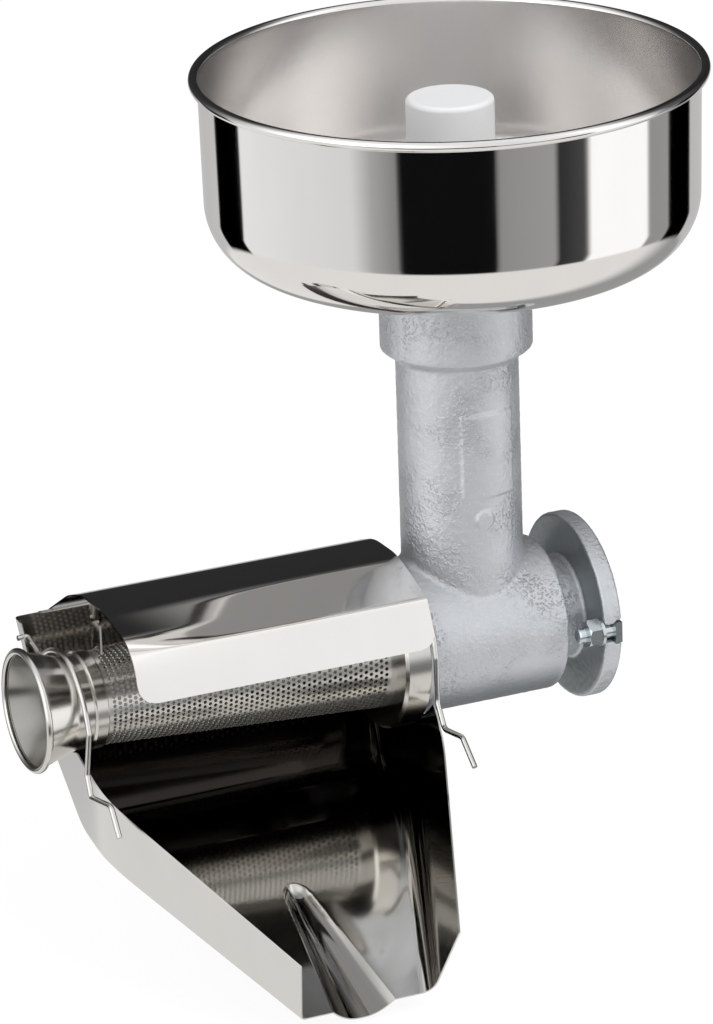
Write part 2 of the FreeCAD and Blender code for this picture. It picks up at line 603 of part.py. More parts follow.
def thrust_spring():
    """Coil spring that keeps the auger forward."""
    rear = CHAMBER_X - SLIP - WASHER_T - SEAT - SPRING_WIRE_R
    front = HUB_REAR_X + SEAT + SPRING_WIRE_R
    length = rear - front
    spine = Part.makeHelix(length / SPRING_TURNS, length, SPRING_R)
    corner = SPRING_WIRE_R / math.cos(math.pi / SPRING_SIDES)
    turns = [(2 * i + 1) * math.pi / SPRING_SIDES for i in range(SPRING_SIDES + 1)]
    section = Part.makePolygon([V(SPRING_R + corner * math.cos(a), 0, corner * math.sin(a)) for a in turns])
    coil = Part.Wire(spine.Edges).makePipeShell([section], True, True)
    coil.rotate(V(0, 0, 0), Y_AXIS, -90)
    coil.translate(V(rear, 0, 0))
    return coil


def flange_bolts():
    """Two square-headed bolts, their heads let into the flange's rear face."""
    bolts = []
    end = NUT_FRONT_X - BOLT_PROUD
    for side in (-1, 1):
        shank = rod(BOLT_R, end, -BOLT_HEAD_T / 2, BOLT_Y * side)
        shank = shank.makeChamfer(BOLT_CHAMFER, [e for e in shank.Edges
                                                 if abs(e.CenterOfMass.x - end) < SEAT])
        head = prism(BOLT_HEAD_AF, BOLT_HEAD_T - SLIP, -BOLT_HEAD_T, BOLT_Y * side, sides=4)
        bolts.append(shank.fuse(head).removeSplitter())
    return Part.makeCompound(bolts)


def flange_washers():
    """Flat washers under the nuts."""
    washers = []
    for side in (-1, 1):
        disc = rod(FLAT_WASHER_R, NUT_REAR_X, -FLANGE_T, BOLT_Y * side)
        washers.append(disc.cut(rod(BOLT_R + SEAT, NUT_REAR_X, -FLANGE_T, BOLT_Y * side)))
    return Part.makeCompound(washers)


def flange_nuts():
    """Hexagon nuts of the flange bolts."""
    nuts = []
    tip = NUT_AF / 2 / math.cos(math.pi / 6) - NUT_CHAMFER
    for side in (-1, 1):
        nut = prism(NUT_AF, NUT_T, NUT_FRONT_X, BOLT_Y * side)
        dome = Part.makeCone(tip, tip + NUT_T, NUT_T, V(NUT_FRONT_X, BOLT_Y * side, 0), X_AXIS)
        nut = nut.common(dome)
        nuts.append(nut.cut(rod(BOLT_R + SEAT, NUT_FRONT_X, NUT_REAR_X, BOLT_Y * side)))
    return Part.makeCompound(nuts)


def half_space(point, normal):
    """Large block on the side of a plane that its normal points to."""
    size = 4 * BEYOND
    block = Part.makeBox(size, size, size, V(-size / 2, -size / 2, 0))
    block.Placement = FreeCAD.Placement(point, FreeCAD.Rotation(Z_AXIS, normal))
    return block


def end_x(side, y, z):
    """Where the outer face of a basin's end wall lies."""
    return TROUGH_X + side * (BASIN_HALF + z * BASIN_LEAN - y * BASIN_SPREAD)


def basin_plane(side):
    """Point and outward normal of an end wall of the basin."""
    return V(end_x(side, 0, 0), 0, 0), V(side, BASIN_SPREAD, -BASIN_LEAN).normalize()


def chute_plane(side):
    """Point and outward normal of a wall that narrows to the lip."""
    lip = V(LIP_X + side * LIP_HALF, LIP[0], LIP[1])
    corner = V(LIP_X + side * CORNER_HALF, CORNER[0], CORNER[1])
    fold = V(end_x(side, *TOP_FOLD), TOP_FOLD[0], TOP_FOLD[1])
    normal = (corner - lip).cross(fold - lip).normalize()
    return lip, normal * (1 if normal.x * side > 0 else -1)


def trough_inside(inset):
    """Space between the side walls' outer faces, drawn in by an inset."""
    space = Part.makeBox(2 * BEYOND, 3 * BEYOND, 3 * BEYOND,
                         V(TROUGH_X - BEYOND, -2 * BEYOND, -2 * BEYOND))
    for side in (-1, 1):
        for point, normal in (basin_plane(side), chute_plane(side)):
            space = space.cut(half_space(point - normal * inset, normal))
    return space


def notch_radius(side):
    """Radius of the round notch that an end wall has for the outlet neck or the collar."""
    return (RING_R if side > 0 else NECK_END_R) + SLIP


def round_point(radius, drop):
    """Point of a circle about the barrel's axis, some degrees below level at the front."""
    return (-radius * math.cos(math.radians(drop)), -radius * math.sin(math.radians(drop)))


def side_outline(side):
    """Outline of a side wall, seen along X, out to the sheet's outer face."""
    radius = notch_radius(side)
    points = [BACK_TOP] + BACK_POINTS + [FOLD, LIP, CORNER, TOP_FOLD]
    points += [round_point(radius, NOTCH_DROP[side]), (0.0, -radius),
               round_point(radius, 180.0 - NOTCH_REAR_DROP),
               (BACK_POINTS[0][0] - EAR, EAR_FOOT_Z), (BACK_TOP[0] - EAR, BACK_TOP[1])]
    outline = face_of([V(TROUGH_X, y, z) for y, z in points]).extrude(V(side * BEYOND, 0, 0))
    return outline.cut(rod(radius, TROUGH_X, TROUGH_X + side * BEYOND))


def back_corner(side):
    """What is cut off at a top corner of the back wall: the flange's end and a round corner."""
    edge = end_x(side, *BACK_TOP)
    inner = edge - side * BACK_CORNER_R
    top = BACK_TOP[1] - TOP_FLANGE_BEND
    low = top - BACK_CORNER_R
    y = (BACK_TOP[0] - 2 * EAR, BACK_TOP[0] + CUT)
    square = box(sorted((inner, edge + side * CUT)), y, (low, top))
    corner = square.cut(Part.makeCylinder(BACK_CORNER_R, y[1] - y[0], V(inner, y[0], low), Y_AXIS))
    ends = sorted((edge - side * TOP_FLANGE_SHORT, edge + side * CUT))
    return corner.fuse(box(ends, y, (top, BACK_TOP[1] + EAR)))


def trough():
    """Juice trough: one bent sheet, with notches for the barrel and the outlet neck."""
    floor = [BACK_TOP] + BACK_POINTS + [FOLD, LIP]
    radii = BACK_RADII + [FOLD_R]
    flange = (BACK_TOP[0] - TOP_FLANGE[0], BACK_TOP[1] + TOP_FLANGE[1])
    start_x = TROUGH_X - BEYOND
    sheet = sheet_along_x([flange] + floor, [TOP_FLANGE_BEND] + radii, start_x, start_x + 2 * BEYOND, SHEET)
    sheet = sheet.common(trough_inside(0))
    profile = bent([V(start_x, y, z) for y, z in floor], radii)
    start, end = profile.Vertexes[0].Point, profile.Vertexes[-1].Point
    closing = Part.makePolygon([end, V(end.x, end.y - BEYOND, end.z), V(end.x, end.y - BEYOND, BEYOND),
                                V(end.x, start.y, BEYOND), start])
    above = Part.Face(Part.Wire(profile.Edges + closing.Edges)).extrude(V(2 * BEYOND, 0, 0))
    walls = trough_inside(0).cut(trough_inside(SHEET)).common(above)
    for side in (-1, 1):
        sheet = sheet.fuse(walls.common(side_outline(side)))
        sheet = sheet.cut(bail_hole(side)).cut(back_corner(side))
    return press_gutter(sheet).removeSplitter()


def bail_hole(side):
    """Hole for a bail's pivot end in an ear of the trough."""
    y, z = BAIL_PIVOT
    return rod(WIRE_R + RUN, TROUGH_X, TROUGH_X + side * BEYOND, y, z)


def press_gutter(sheet):
    """Press the pouring gutter, a shallow half cone, into the chute's floor."""
    run = V(0, LIP[0] - FOLD[0], LIP[1] - FOLD[1]).normalize()
    up = V(0, -run.z, run.y)
    up = up if up.z > 0 else up * -1
    middle_x = LIP_X + GUTTER_SHIFT
    start = V(middle_x, FOLD[0], FOLD[1]) + run * ((GUTTER_START_Y - FOLD[0]) / run.y) + up * SHEET
    end = V(middle_x, LIP[0], LIP[1])
    length = (end - start).dot(run)
    radius = (GUTTER_HALF ** 2 + GUTTER_DEPTH ** 2) / (2 * GUTTER_DEPTH)
    raise_angle = math.atan((radius - GUTTER_DEPTH) / length)
    axis = run * math.cos(raise_angle) + up * math.sin(raise_angle)
    spread = raise_angle + math.atan(GUTTER_DEPTH / length)
    reach = (length + GUTTER_HALF) / math.cos(raise_angle)
    inner = Part.makeCone(0, reach * math.tan(spread), reach, start, axis)
    outer = inner.copy()
    outer.translate(up * (-SHEET / math.cos(spread)))
    shell = outer.cut(inner).common(half_space(start, up * -1))
    front = half_space(end, run)
    below = half_space(start - up * SHEET, up * -1)
    return sheet.cut(inner).fuse(shell.cut(front)).cut(inner.common(below.fuse(front)))


def bail(side, neck_r, x, hook_x, hook):
    """Spring wire bail: pivot end, arch over the neck in the plane at x, hook and finger tab."""
    y0, z0 = BAIL_PIVOT
    arch = neck_r + SLIP + WIRE_R
    corner = arch * math.tan(math.pi / 8)
    past, height, rear_bend = BAIL_REAR[side]
    cheek, cheek_z = BAIL_CHEEK[side]
    pin_x = end_x(side, y0, z0) + side * BAIL_PIN_OUT
    points = [V(pin_x, y0, z0), V(x, y0, z0), V(x, arch + past, height), V(x, corner, arch),
              V(x, -corner, arch), V(x, -arch, corner), V(x, -arch - cheek, cheek_z)]
    points += [V(hook_x, TOP_FOLD[0] + y, TOP_FOLD[1] + z) for y, z in hook]
    radii = [BAIL_PIN_BEND, rear_bend, None, None, None, HOOK_RADII[side][0]]
    return swept(bent(points, radii + HOOK_RADII[side]), WIRE_R)


def splash_cover():
    """Bent sheet over the strainer, resting on the trough's rear edge."""
    x0, x1 = COVER_X
    points = [(y, COVER_TOP_Z + z) for y, z in COVER_REAR + COVER_FRONT]
    cover = sheet_along_x(points, COVER_RADII, x0, x1, SHEET)
    front, low = points[-1]
    y = (front - FLAP_CORNER_R, front + FLAP_CORNER_R)
    for x, side in ((x0, 1), (x1, -1)):
        inner = x + side * FLAP_CORNER_R
        square = box(sorted((x - side * CUT, inner)), y, (low - CUT, low + FLAP_CORNER_R))
        disc = Part.makeCylinder(FLAP_CORNER_R, y[1] - y[0], V(inner, y[0], low + FLAP_CORNER_R), Y_AXIS)
        cover = cover.cut(square.cut(disc))
    return cover


def cover_stay(x, foot_r, cover):
    """Tab welded under the cover, which stands on the strainer."""
    half = STAY_W / 2
    tab = box((x - STAY_T / 2, x + STAY_T / 2), (-half, half), (0, COVER_TOP_Z + COVER_FRONT[0][1]))
    tab = tab.cut(rod(foot_r + SLIP, x - STAY_T, x + STAY_T))
    return min(tab.cut(cover).Solids, key=lambda s: s.CenterOfMass.z)


def build():
    """Write every node of the strainer to the parts folder."""
    cover = splash_cover()
    end_ring_r = CONE_SMALL_R + SEAT + END_RING_T
    left_bail_x = end_x(-1, *BAIL_PIVOT) + SHEET + SLIP + WIRE_R
    left_hook_x = end_x(-1, TOP_FOLD[0], TOP_FOLD[1] + LEFT_HOOK[0][1]) - SLIP - WIRE_R
    right_bail_x = RING_REAR_X + SLIP + WIRE_R
    nodes = {
        "body_casting": body_casting(),
        "bayonet_pins": bayonet_pins(),
        "rear_bush": rear_bush(),
        "shaft_seal": shaft_seal(),
        "flange_bolts": flange_bolts(),
        "flange_washers": flange_washers(),
        "flange_nuts": flange_nuts(),
        "strainer_gasket": strainer_gasket(),
        "strainer_collar": strainer_collar(),
        "strainer_screen": strainer_screen(),
        "strainer_end_ring": strainer_end_ring(),
        "outlet_funnel": outlet_funnel(),
        "juice_trough": trough(),
        "drive_shaft": drive_shaft(),
        "drive_pin": drive_pin(),
        "thrust_washer": thrust_washer(),
        "shaft_circlip": shaft_circlip(),
        "spring_seat": spring_seat(),
        "thrust_spring": thrust_spring(),
        "auger": auger(),
        "hopper_bowl": hopper_bowl(),
        "hopper_spout": hopper_spout(),
        "plunger": plunger(),
        "splash_cover": cover,
        "cover_stay_left": cover_stay(COVER_X[0] + STAY_IN, end_ring_r, cover),
        "cover_stay_right": cover_stay(COVER_X[1] - STAY_IN, RING_R, cover),
        "left_bail": bail(-1, NECK_END_R, left_bail_x, left_hook_x, LEFT_HOOK),
        "right_bail": bail(1, BARREL_R, right_bail_x, right_bail_x, RIGHT_HOOK),
    }
    os.makedirs("parts", exist_ok=True)
    for name, shape in nodes.items():
        shape.exportStep(f"parts/{name}.step")
        state = "valid" if shape.isValid() else "NOT VALID"
        print(f"{name}: {len(shape.Solids)} solid(s), {shape.Volume:.0f} mm3, {state}")


build()
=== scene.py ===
"""Looks of a tomato strainer attachment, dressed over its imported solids.

The frame is the solids' own: the origin is the centre of the drive flange's rear face on the
barrel's axis, +X points out of that face, -X towards the outlet funnel, -Y towards the trough's
pouring lip and +Z up.  Sizes of pieces are in millimetres, and MM turns them into metres.
Finishes, floor, lamps and camera are in metres.
"""
import logging
import math
from dataclasses import dataclass, field
from enum import Enum
from typing import Callable, Iterable, Sequence

import bmesh
import bpy
from mathutils import Matrix, Vector, noise


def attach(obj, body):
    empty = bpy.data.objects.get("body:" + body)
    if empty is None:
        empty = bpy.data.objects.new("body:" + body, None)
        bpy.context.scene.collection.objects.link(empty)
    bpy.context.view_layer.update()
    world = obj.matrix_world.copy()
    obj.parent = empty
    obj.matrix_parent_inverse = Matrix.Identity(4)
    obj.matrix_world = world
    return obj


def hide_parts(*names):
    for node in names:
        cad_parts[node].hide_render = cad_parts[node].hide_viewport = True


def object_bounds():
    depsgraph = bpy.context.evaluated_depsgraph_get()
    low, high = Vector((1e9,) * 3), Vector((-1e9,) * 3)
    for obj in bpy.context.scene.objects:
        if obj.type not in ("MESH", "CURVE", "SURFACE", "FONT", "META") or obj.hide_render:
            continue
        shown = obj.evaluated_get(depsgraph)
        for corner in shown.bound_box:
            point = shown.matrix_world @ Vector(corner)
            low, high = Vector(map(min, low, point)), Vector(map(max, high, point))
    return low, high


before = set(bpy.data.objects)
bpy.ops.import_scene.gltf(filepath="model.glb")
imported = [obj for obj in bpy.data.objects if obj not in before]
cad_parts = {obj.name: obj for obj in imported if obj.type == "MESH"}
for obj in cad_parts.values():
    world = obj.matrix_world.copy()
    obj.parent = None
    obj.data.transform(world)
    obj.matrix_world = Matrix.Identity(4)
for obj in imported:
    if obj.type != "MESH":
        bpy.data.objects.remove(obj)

CAD_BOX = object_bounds()
MM = 0.001
LOG = logging.getLogger("strainer")

Point2 = tuple[float, float]
Point3 = tuple[float, float, float]
Colour = tuple[float, float, float, float]
Face = tuple[int, ...]


def grey(tone: float) -> Colour:
    """An even grey."""
    return (tone, tone, tone, 1.0)


def shaded(colour: Colour, share: float) -> Colour:
    """A colour at a share of its brightness."""
    return (colour[0] * share, colour[1] * share, colour[2] * share, 1.0)


# ---- shader nodes -------------------------------------------------------------------------
@dataclass(frozen=True)
class Grain:
    """A noise: waves per metre, detail, and the scale along each axis where it is drawn out."""

    scale: float
    detail: float
    stretch: Point3 | None = None


class Sig:
    """A node's output socket, with arithmetic that adds Math nodes."""

    def __init__(self, net: "Net", socket: bpy.types.NodeSocket | None) -> None:
        """Keep the socket and the tree it belongs to."""
        self.net = net
        self.socket = socket

    def _math(self, operation: str, *values: object) -> "Sig":
        """One Math node of an operation on numbers and Sigs."""
        inputs = dict(enumerate(values))
        return self.net.node("ShaderNodeMath", {"operation": operation}, inputs)

    def __add__(self, other: object) -> "Sig":
        """Sum."""
        return self._math("ADD", self, other)

    def __radd__(self, other: object) -> "Sig":
        """Sum, reflected."""
        return self._math("ADD", other, self)

    def __sub__(self, other: object) -> "Sig":
        """Difference."""
        return self._math("SUBTRACT", self, other)

    def __rsub__(self, other: object) -> "Sig":
        """Difference, reflected."""
        return self._math("SUBTRACT", other, self)

    def __mul__(self, other: object) -> "Sig":
        """Product."""
        return self._math("MULTIPLY", self, other)

    def __rmul__(self, other: object) -> "Sig":
        """Product, reflected."""
        return self._math("MULTIPLY", other, self)

    def __truediv__(self, other: object) -> "Sig":
        """Quotient."""
        return self._math("DIVIDE", self, other)

    def __rtruediv__(self, other: object) -> "Sig":
        """Quotient, reflected."""
        return self._math("DIVIDE", other, self)

    def apply(self, operation: str, *values: object) -> "Sig":
        """Any other Math operation, with this value first."""
        return self._math(operation, self, *values)

    def step(self, low: float, high: float) -> "Sig":
        """Smooth step from 0 at low to 1 at high."""
        inputs = {"Value": self, "From Min": low, "From Max": high}
        return self.net.node("ShaderNodeMapRange", {"interpolation_type": "SMOOTHSTEP"}, inputs)


class Net:
    """The node tree of a material or world, built from empty."""

    def __init__(self, owner: bpy.types.ID) -> None:
        """Empty the owner's tree.

        Args:
            owner: the material or world.
        """
        owner.use_nodes = True
        self.tree = owner.node_tree
        self.tree.nodes.clear()

    def node(self, kind: str, settings: dict[str, object], inputs: dict[object, object],
             output: object = 0) -> Sig:
        """Add a node.

        Args:
            kind: the node's type.
            settings: its properties, set before its sockets; "stops" holds a ramp's stops.
            inputs: socket name or number to a value or a Sig.
            output: name or number of the socket returned.

        Returns:
            The output as a Sig, which holds no socket if the node has no outputs.
        """
        made = self.tree.nodes.new(kind)
        for key, value in settings.items():
            if key == "stops":
                self._set_stops(made.color_ramp, value)
            else:
                setattr(made, key, value)
        for key, value in inputs.items():
            if isinstance(value, Sig):
                self.tree.links.new(value.socket, made.inputs[key])
            else:
                made.inputs[key].default_value = value
        return Sig(self, made.outputs[output] if made.outputs else None)

    @staticmethod
    def _set_stops(ramp: bpy.types.ColorRamp, stops: Sequence[Point2]) -> None:
        """Give a colour ramp grey stops.

        Args:
            ramp: the ramp.
            stops: (position, tone) of each stop, in order.
        """
        while len(ramp.elements) > 1:
            ramp.elements.remove(ramp.elements[-1])
        ramp.elements[0].position = stops[0][0]
        ramp.elements[0].color = grey(stops[0][1])
        for position, tone in stops[1:]:
            ramp.elements.new(position).color = grey(tone)

    def place(self) -> Sig:
        """Position on the object, in metres."""
        return self.node("ShaderNodeTexCoord", {}, {}, "Object")

    def axes(self, vector: Sig) -> tuple[Sig, Sig, Sig]:
        """The X, Y and Z of a vector."""
        split = self.node("ShaderNodeSeparateXYZ", {}, {"Vector": vector}).socket.node
        return Sig(self, split.outputs[0]), Sig(self, split.outputs[1]), Sig(self, split.outputs[2])

    def stretched(self, scale: Point3) -> Sig:
        """Position on the object, scaled along its axes."""
        return self.node("ShaderNodeMapping", {}, {"Vector": self.place(), "Scale": scale})

    def noise(self, grain: Grain) -> Sig:
        """Add noise over the object.

        Args:
            grain: the noise's sizes.

        Returns:
            The noise, from 0 to 1.
        """
        where = self.stretched(grain.stretch) if grain.stretch else self.place()
        inputs = {"Vector": where, "Scale": grain.scale, "Detail": grain.detail}
        return self.node("ShaderNodeTexNoise", {}, inputs, "Fac")

    def blend(self, factor: object, first: object, second: object) -> Sig:
        """Mix of two colours."""
        settings = {"data_type": "RGBA"}
        return self.node("ShaderNodeMix", settings, {0: factor, 6: first, 7: second}, 2)

    def bump(self, height: Sig, depth: float) -> Sig:
        """Normal bumped by a height from 0 to 1, of so many metres."""
        return self.node("ShaderNodeBump", {}, {"Height": height, "Distance": depth, "Strength": 1.0})

    def mixed(self, factor: Sig, first: Sig, second: Sig) -> Sig:
        """Mix of two shaders."""
        return self.node("ShaderNodeMixShader", {}, {0: factor, 1: first, 2: second})

    def surface(self, inputs: dict[object, object]) -> None:
        """Add the Principled shader with these sockets, and the output."""
        shader = self.node("ShaderNodeBsdfPrincipled", {}, inputs)
        self.node("ShaderNodeOutputMaterial", {}, {"Surface": shader})


# ---- finishes -----------------------------------------------------------------------------
@dataclass(frozen=True)
class Finish:
    """A finish that a piece can wear: a name, a colour and its gloss."""

    name: str
    colour: Colour
    rough: float

    def material(self) -> bpy.types.Material:
        """Make the finish's material, once.

        Returns:
            The material.
        """
        known = bpy.data.materials.get(self.name)
        if known:
            return known
        made = bpy.data.materials.new(self.name)
        self.fill(Net(made))
        return made

    def fill(self, net: Net) -> None:
        """Build the node tree."""
        raise NotImplementedError


@dataclass(frozen=True)
class PolishedSheet(Finish):
    """Polished stainless sheet: near-mirror, with faint waves from forming and fine wiping marks."""

    wave: float = 0.00002
    waves: Grain = Grain(22.0, 1.0)
    metal: float = 1.0
    smears: Grain = Grain(60.0, 4.0, (1.0, 1.0, 0.35))
    smear_tone: float = 0.95
    smear_rough: float = 0.05
    marks: Grain = Grain(900.0, 2.0, (1.0, 1.0, 0.06))
    mark_rough: float = 0.02

    def fill(self, net: Net) -> None:
        """Build the node tree.

        Args:
            net: the material's empty tree.
        """
        smears = net.noise(self.smears)
        tint = net.blend(smears, self.colour, shaded(self.colour, self.smear_tone))
        rough = self.rough + smears * self.smear_rough + net.noise(self.marks) * self.mark_rough
        net.surface({"Base Color": tint, "Metallic": self.metal, "Roughness": rough,
                     "Normal": net.bump(net.noise(self.waves), self.wave)})


@dataclass(frozen=True)
class PaintedShadeSheet(Finish):
    """Polished sheet with painted shade in the basin under the strainer, in the pressed gutter and near the
    lip left of it, and lighter near the lip right of the gutter.
    """

    # painted shade in the basin, where the strainer above shades it
    basin_painted_shade: Colour = (0.028, 0.025, 0.022, 1.0)
    chute_tone: Colour = (0.66, 0.64, 0.60, 1.0)
    # painted shade in the pressed gutter and on the chute near the lip left of it
    gutter_painted_shade: Colour = (0.24, 0.235, 0.225, 1.0)
    gutter_x: Point2 = (-0.186, -0.172)
    gutter_middle: float = -0.1925
    gutter_start: float = 0.062
    gutter_fade: float = 0.004
    gutter_tip: float = 0.006
    gutter_spread: float = 0.125
    gutter_edge: Point2 = (0.75, 0.95)
    basin_y: Point2 = (-0.050, -0.029)
    lip_y: Point2 = (-0.076, -0.128)
    line_z: Point2 = (-0.012, 0.004)
    wave: float = 0.00006
    waves: Grain = Grain(26.0, 1.0)
    smears: Grain = Grain(60.0, 4.0, (1.0, 0.4, 0.4))
    smear_rough: float = 0.05

    def fill(self, net: Net) -> None:
        """Build the node tree.

        Args:
            net: the material's empty tree.
        """
        across, along, height = net.axes(net.place())
        to_lip = (along * -1.0).step(-self.lip_y[0], -self.lip_y[1])
        # painted shade mask: the basin, below the line
        basin_shade_mask = along.step(*self.basin_y) * (1.0 - height.step(*self.line_z))
        to_right = across.step(*self.gutter_x)
        tint = net.blend(to_lip * to_right, self.chute_tone, self.colour)
        ahead = along * -1.0 - self.gutter_start
        half = ahead * self.gutter_spread + self.gutter_tip
        off = (across - self.gutter_middle).apply("ABSOLUTE") / half
        in_gutter = ahead.step(0.0, self.gutter_fade) * (1.0 - off.step(*self.gutter_edge))
        # painted shade mask: the gutter, and the chute near the lip left of it
        pressed = (to_lip * (1.0 - to_right)).apply("MAXIMUM", in_gutter)
        tint = net.blend(pressed, tint, self.gutter_painted_shade)
        tint = net.blend(basin_shade_mask, tint, self.basin_painted_shade)
        net.surface({"Base Color": tint, "Metallic": 1.0,
                     "Roughness": self.rough + net.noise(self.smears) * self.smear_rough,
                     "Normal": net.bump(net.noise(self.waves), self.wave)})


@dataclass(frozen=True)
class BrushedSteel(Finish):
    """Satin metal, brushed along the axes on which its grain's scale is small."""

    grain: Grain = Grain(1400.0, 3.0)
    grain_rough: float = 0.10
    grain_depth: float = 0.000006
    clouds: Grain = Grain(18.0, 3.0)
    cloud_tone: float = 0.88
    cloud_rough: float = 0.05

    def fill(self, net: Net) -> None:
        """Build the node tree.

        Args:
            net: the material's empty tree.
        """
        grain = net.noise(self.grain)
        cloud = net.noise(self.clouds)
        tint = net.blend(cloud, self.colour, shaded(self.colour, self.cloud_tone))
        net.surface({"Base Color": tint, "Metallic": 1.0,
                     "Roughness": self.rough + grain * self.grain_rough - cloud * self.cloud_rough,
                     "Normal": net.bump(grain, self.grain_depth)})


@dataclass(frozen=True)
class SandCast(Finish):
    """Tumbled sand-cast aluminium: fine pits, worn bright spots and painted shade on the barrel's
    underside.
    """

    metal: float = 0.80
    fine: Grain = Grain(1300.0, 3.0)
    coarse: Grain = Grain(620.0, 4.0)
    patches: Grain = Grain(38.0, 3.0)
    rough_patches: Point2 = (0.42, 0.62)
    pit_depths: Point2 = (0.50, 0.66)
    pit_colour: Colour = (0.30, 0.32, 0.34, 1.0)
    pit_share: float = 0.16
    height_shares: Point3 = (0.30, 0.45, 0.7)
    depth: float = 0.00045
    dull_tone: float = 0.86
    dull_patches: Point2 = (0.25, 0.8)
    worn_spots: Point2 = (0.60, 0.74)
    worn_share: float = 0.5
    patch_gloss: float = 0.10
    fine_rough: float = 0.14
    # painted shade on the barrel's underside: its colour, the depths below the axis over which it comes in,
    # and the places along the axis where it starts
    underside_painted_shade: Colour = (0.27, 0.29, 0.31, 1.0)
    underside_shade_z: Point2 = (0.009, 0.030)
    underside_shade_x: Point2 = (0.024, 0.030)

    def fill(self, net: Net) -> None:
        """Build the node tree.

        Args:
            net: the material's empty tree.
        """
        fine, coarse, patches = (net.noise(grain) for grain in (self.fine, self.coarse, self.patches))
        rough_here = patches.step(*self.rough_patches)
        pits = coarse.step(*self.pit_depths) * rough_here
        fine_share, coarse_share, pit_share = self.height_shares
        height = fine * fine_share + coarse * coarse_share + pits * pit_share
        dull = shaded(self.colour, self.dull_tone)
        tint = net.blend(patches.step(*self.dull_patches), self.colour, dull)
        tint = net.blend(pits * self.pit_share, tint, self.pit_colour)
        tint = net.blend(fine.step(*self.worn_spots) * self.worn_share, tint, grey(1.0))
        # painted shade: the barrel's underside grows darker towards the bottom
        x, _, z = net.axes(net.place())
        under = (z * -1.0).step(*self.underside_shade_z) * (x * -1.0).step(*self.underside_shade_x)
        tint = net.blend(under, tint, self.underside_painted_shade)
        net.surface({"Base Color": tint, "Metallic": self.metal,
                     "Roughness": self.rough - rough_here * self.patch_gloss + fine * self.fine_rough,
                     "Normal": net.bump(height, self.depth)})


@dataclass(frozen=True)
class MachinedCast(Finish):
    """Turned face of the casting, with fine rings left by the tool."""

    rings: Grain = Grain(1800.0, 1.0, (1.0, 0.05, 0.05))
    ring_depth: float = 0.00001
    clouds: Grain = Grain(30.0, 2.0)
    cloud_colour: Colour = (0.34, 0.37, 0.38, 1.0)
    cloud_rough: float = 0.08

    def fill(self, net: Net) -> None:
        """Build the node tree.

        Args:
            net: the material's empty tree.
        """
        cloud = net.noise(self.clouds)
        net.surface({"Base Color": net.blend(cloud, self.colour, self.cloud_colour),
                     "Metallic": 1.0, "Roughness": self.rough + cloud * self.cloud_rough,
                     "Normal": net.bump(net.noise(self.rings), self.ring_depth)})


@dataclass(frozen=True)
class MouldedPlastic(Finish):
    """White food plastic with a faint moulded grain."""

    grain: Grain = Grain(700.0, 2.0)
    grain_rough: float = 0.08
    grain_depth: float = 0.00002
    clouds: Grain = Grain(14.0, 2.0)
    cloud_tone: float = 0.96
    milkiness: float = 0.25
    milk_reach: Point3 = (0.004, 0.004, 0.004)

    def fill(self, net: Net) -> None:
        """Build the node tree.

        Args:
            net: the material's empty tree.
        """
        grain = net.noise(self.grain)
        cloud = net.noise(self.clouds)
        tint = net.blend(cloud, self.colour, shaded(self.colour, self.cloud_tone))
        net.surface({"Base Color": tint, "Roughness": self.rough + grain * self.grain_rough,
                     "Subsurface Weight": self.milkiness, "Subsurface Radius": self.milk_reach,
                     "Normal": net.bump(grain, self.grain_depth)})


@dataclass(frozen=True)
class DarkRubber(Finish):
    """Matt rubber of the seals."""

    grain: Grain = Grain(1200.0, 3.0)
    grain_rough: float = 0.1
    grain_depth: float = 0.00003

    def fill(self, net: Net) -> None:
        """Build the node tree.

        Args:
            net: the material's empty tree.
        """
        grain = net.noise(self.grain)
        net.surface({"Base Color": self.colour, "Roughness": self.rough + grain * self.grain_rough,
                     "Normal": net.bump(grain, self.grain_depth)})


LATHE_GRAIN = Grain(1400.0, 3.0, (6.0, 0.5, 0.5))
SPUN_GRAIN = Grain(1400.0, 3.0, (1.0, 1.0, 14.0))

MIRROR = PolishedSheet("polished_sheet", (0.80, 0.785, 0.765, 1.0), 0.035)
BOWL_MIRROR = PolishedSheet("polished_bowl", (0.86, 0.845, 0.83, 1.0), 0.025,
                            wave=0.000012, waves=Grain(9.0, 1.0))
TROUGH_OUT = PolishedSheet("trough_outside", (0.745, 0.735, 0.715, 1.0), 0.10,
                           wave=0.00002, waves=Grain(12.0, 1.0))
TROUGH_IN = PaintedShadeSheet("trough_inside", (0.78, 0.765, 0.735, 1.0), 0.05)
COVER_MIRROR = PolishedSheet("polished_cover", (0.86, 0.845, 0.825, 1.0), 0.04,
                             wave=0.00010, waves=Grain(9.0, 1.0))
SCREEN_STEEL = PolishedSheet("punched_sheet", (0.68, 0.665, 0.63, 1.0), 0.15,
                             wave=0.00003, waves=Grain(60.0, 1.0), metal=0.86)
BOWL_INSIDE = BrushedSteel("satin_bowl", (0.90, 0.88, 0.865, 1.0), 0.20, grain=SPUN_GRAIN)
SATIN = BrushedSteel("satin_turned", (0.74, 0.72, 0.69, 1.0), 0.16, grain=LATHE_GRAIN)
